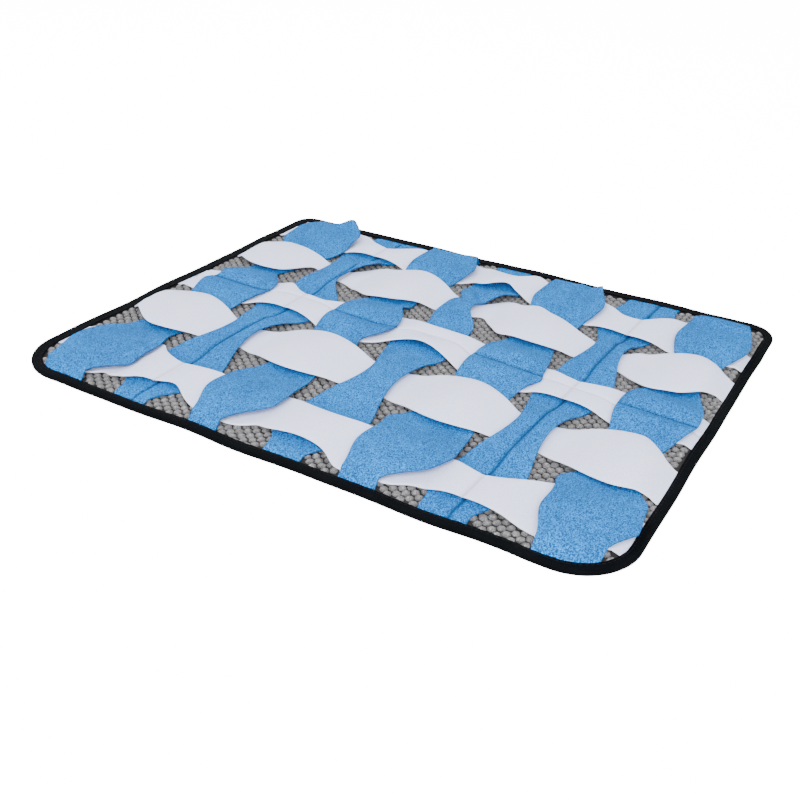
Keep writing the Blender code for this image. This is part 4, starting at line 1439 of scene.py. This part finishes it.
def stitch_tree():
    """Lays a thread at every step of a line, turned along it."""
    tree = Builder("stitches_along_line")
    thread_shape = tree.take("Thread", "Object")
    pitch = tree.take("Pitch", "Float")
    length = tree.take("Length", "Float")
    thick = tree.take("Thickness", "Float")
    seed = tree.take("Seed", "Int")
    material = tree.take("Yarn", "Material")
    line = tree.add("GeometryNodeMeshToCurve", {}, {"Mesh": tree.start.outputs[0]})
    steps = tree.add("GeometryNodeResampleCurve", {"mode": "LENGTH"}, {
        "Curve": line.outputs[0], "Length": pitch})
    points = tree.add("GeometryNodeCurveToPoints", {"mode": "EVALUATED"}, {
        "Curve": steps.outputs[0]})
    shape = tree.add("GeometryNodeObjectInfo", {}, {"Object": thread_shape})
    along = tree.add("FunctionNodeAlignRotationToVector", {"axis": "X"}, {
        "Vector": points.outputs["Tangent"]})
    wobble = tree.add("FunctionNodeRandomValue", {"data_type": "FLOAT_VECTOR"}, {
        0: (0.0, -0.05, -0.1), 1: (0.0, 0.05, 0.1), "Seed": seed})
    turned = tree.add("FunctionNodeRotateRotation", {"rotation_space": "LOCAL"}, {
        "Rotation": along.outputs[0], "Rotate By": wobble.outputs[0]})
    scale = tree.add("ShaderNodeCombineXYZ", {}, {"X": length, "Y": thick, "Z": thick})
    threads = tree.add("GeometryNodeInstanceOnPoints", {}, {
        "Points": points.outputs[0], "Instance": shape.outputs["Geometry"],
        "Rotation": turned.outputs[0], "Scale": scale.outputs[0]})
    tree.finish(threads.outputs[0], material)
    return tree


def sew(name, lines, size, seed, yarn):
    """A row of stitches along each line of points."""
    points, edges = [], []
    for line in lines:
        first = len(points)
        points += [(Vector(point) + MIDDLE) * MM for point in line]
        edges += [(first + step, first + step + 1) for step in range(len(line) - 1)]
    mesh = bpy.data.meshes.new(name + "_lines")
    mesh.from_pydata(points, edges, [])
    return stitching.run(mesh, name, {
        "Thread": stitch, "Pitch": size.pitch * MM, "Length": size.length * MM,
        "Thickness": size.thickness * MM, "Seed": seed, "Yarn": yarn})


stitch = make_stitch()
stitching = stitch_tree()
print("one stitch has", triangles(stitch), "triangles")

# %% Seams on the weave
SEAM_SAMPLE = 1.5
SEAM_START = LIP_INSET + 2
STITCH_LIFT = 0.12        # above the bottom of the groove
sewn_through = [WovenStrip(blue, number)
                for blue, table in ((True, BLUE_STRIPS), (False, WHITE_STRIPS))
                for number in range(len(table))]


def top_cloth(x, y):
    """The height of the topmost cloth's groove at a place, and whether it is blue."""
    best = (0.0, True)
    for woven in sewn_through:
        if woven.blue:
            along, aside = y, x - blue_axis(woven.number, y)
        else:
            along, aside = x, y - white_axis(woven.number, x)
        width = woven.side(along, 1 if aside > 0 else 0)
        if abs(aside) < width:
            height = woven.middle(along, aside / width).z + FLEECE / 2 - GROOVE_DEPTH
            best = max(best, (height, woven.blue))
    return best


def seam_lines():
    """Each seam as runs of points on blue cloth and runs on white cloth."""
    runs = {True: [], False: []}
    for blue, numbers, half in ((True, SEWN_BLUE, HALF_DEPTH), (False, SEWN_WHITE, HALF_LENGTH)):
        for number in numbers:
            steps = round(2 * (half - SEAM_START) / SEAM_SAMPLE)
            current, colour = [], None
            for step in range(steps + 1):
                along = -half + SEAM_START + step * SEAM_SAMPLE
                x, y = blue_axis(number, along), along
                if not blue:
                    x, y = along, white_axis(number, along) + seam_wander(along)
                height, on_blue = top_cloth(x, y)
                if on_blue != colour and current:
                    runs[colour].append(current)
                    current = []
                colour = on_blue
                current.append((x, y, height + STITCH_LIFT))
            runs[colour].append(current)
    return runs


runs = seam_lines()
blue_seams = sew("blue_seam_stitches", runs[True], SEAM_STITCH, 3, BLUE_THREAD)
white_seams = sew("white_seam_stitches", runs[False], SEAM_STITCH, 4, WHITE_THREAD)
print(blue_seams.name, triangles(blue_seams), white_seams.name, triangles(white_seams))

# %% The binding's row of stitches
ring_line = [ring_point(section, STITCH_INSET, TAPE_TOP - 0.5) for section in SECTIONS]
tape_stitches = sew("binding_stitches", [ring_line + ring_line[:1]], TAPE_STITCH, 5, BLACK_THREAD)
bpy.data.objects.remove(stitch)
print(tape_stitches.name, triangles(tape_stitches), "triangles")

# %% [markdown]
# ## Each piece on the mat's body
# Every piece rides on the mat's one body, and the backing, the tape and the strips
# replace the plain solids they stand for. The flat size each strip was cut to is printed.

# %% Pieces and sheets
def enlist(piece, slot, *nodes):
    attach(piece, "root")
    if nodes:
        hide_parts(*nodes)


enlist(backing_piece, "bobble_plush", "base_panel")
enlist(bobbles, "bobble_plush")
enlist(tape_piece, "binding_tape", "edge_binding")
enlist(tape_stitches, "binding_tape")
for name, (piece, (width, length, area)) in strips.items():
    slot = "blue_fleece" if name.startswith("blue") else "white_fleece"
    enlist(piece, slot, name)
    print(name, "is cut", round(width * 1000), "x", round(length * 1000), "mm")
enlist(blue_seams, "blue_fleece")
enlist(white_seams, "white_fleece")
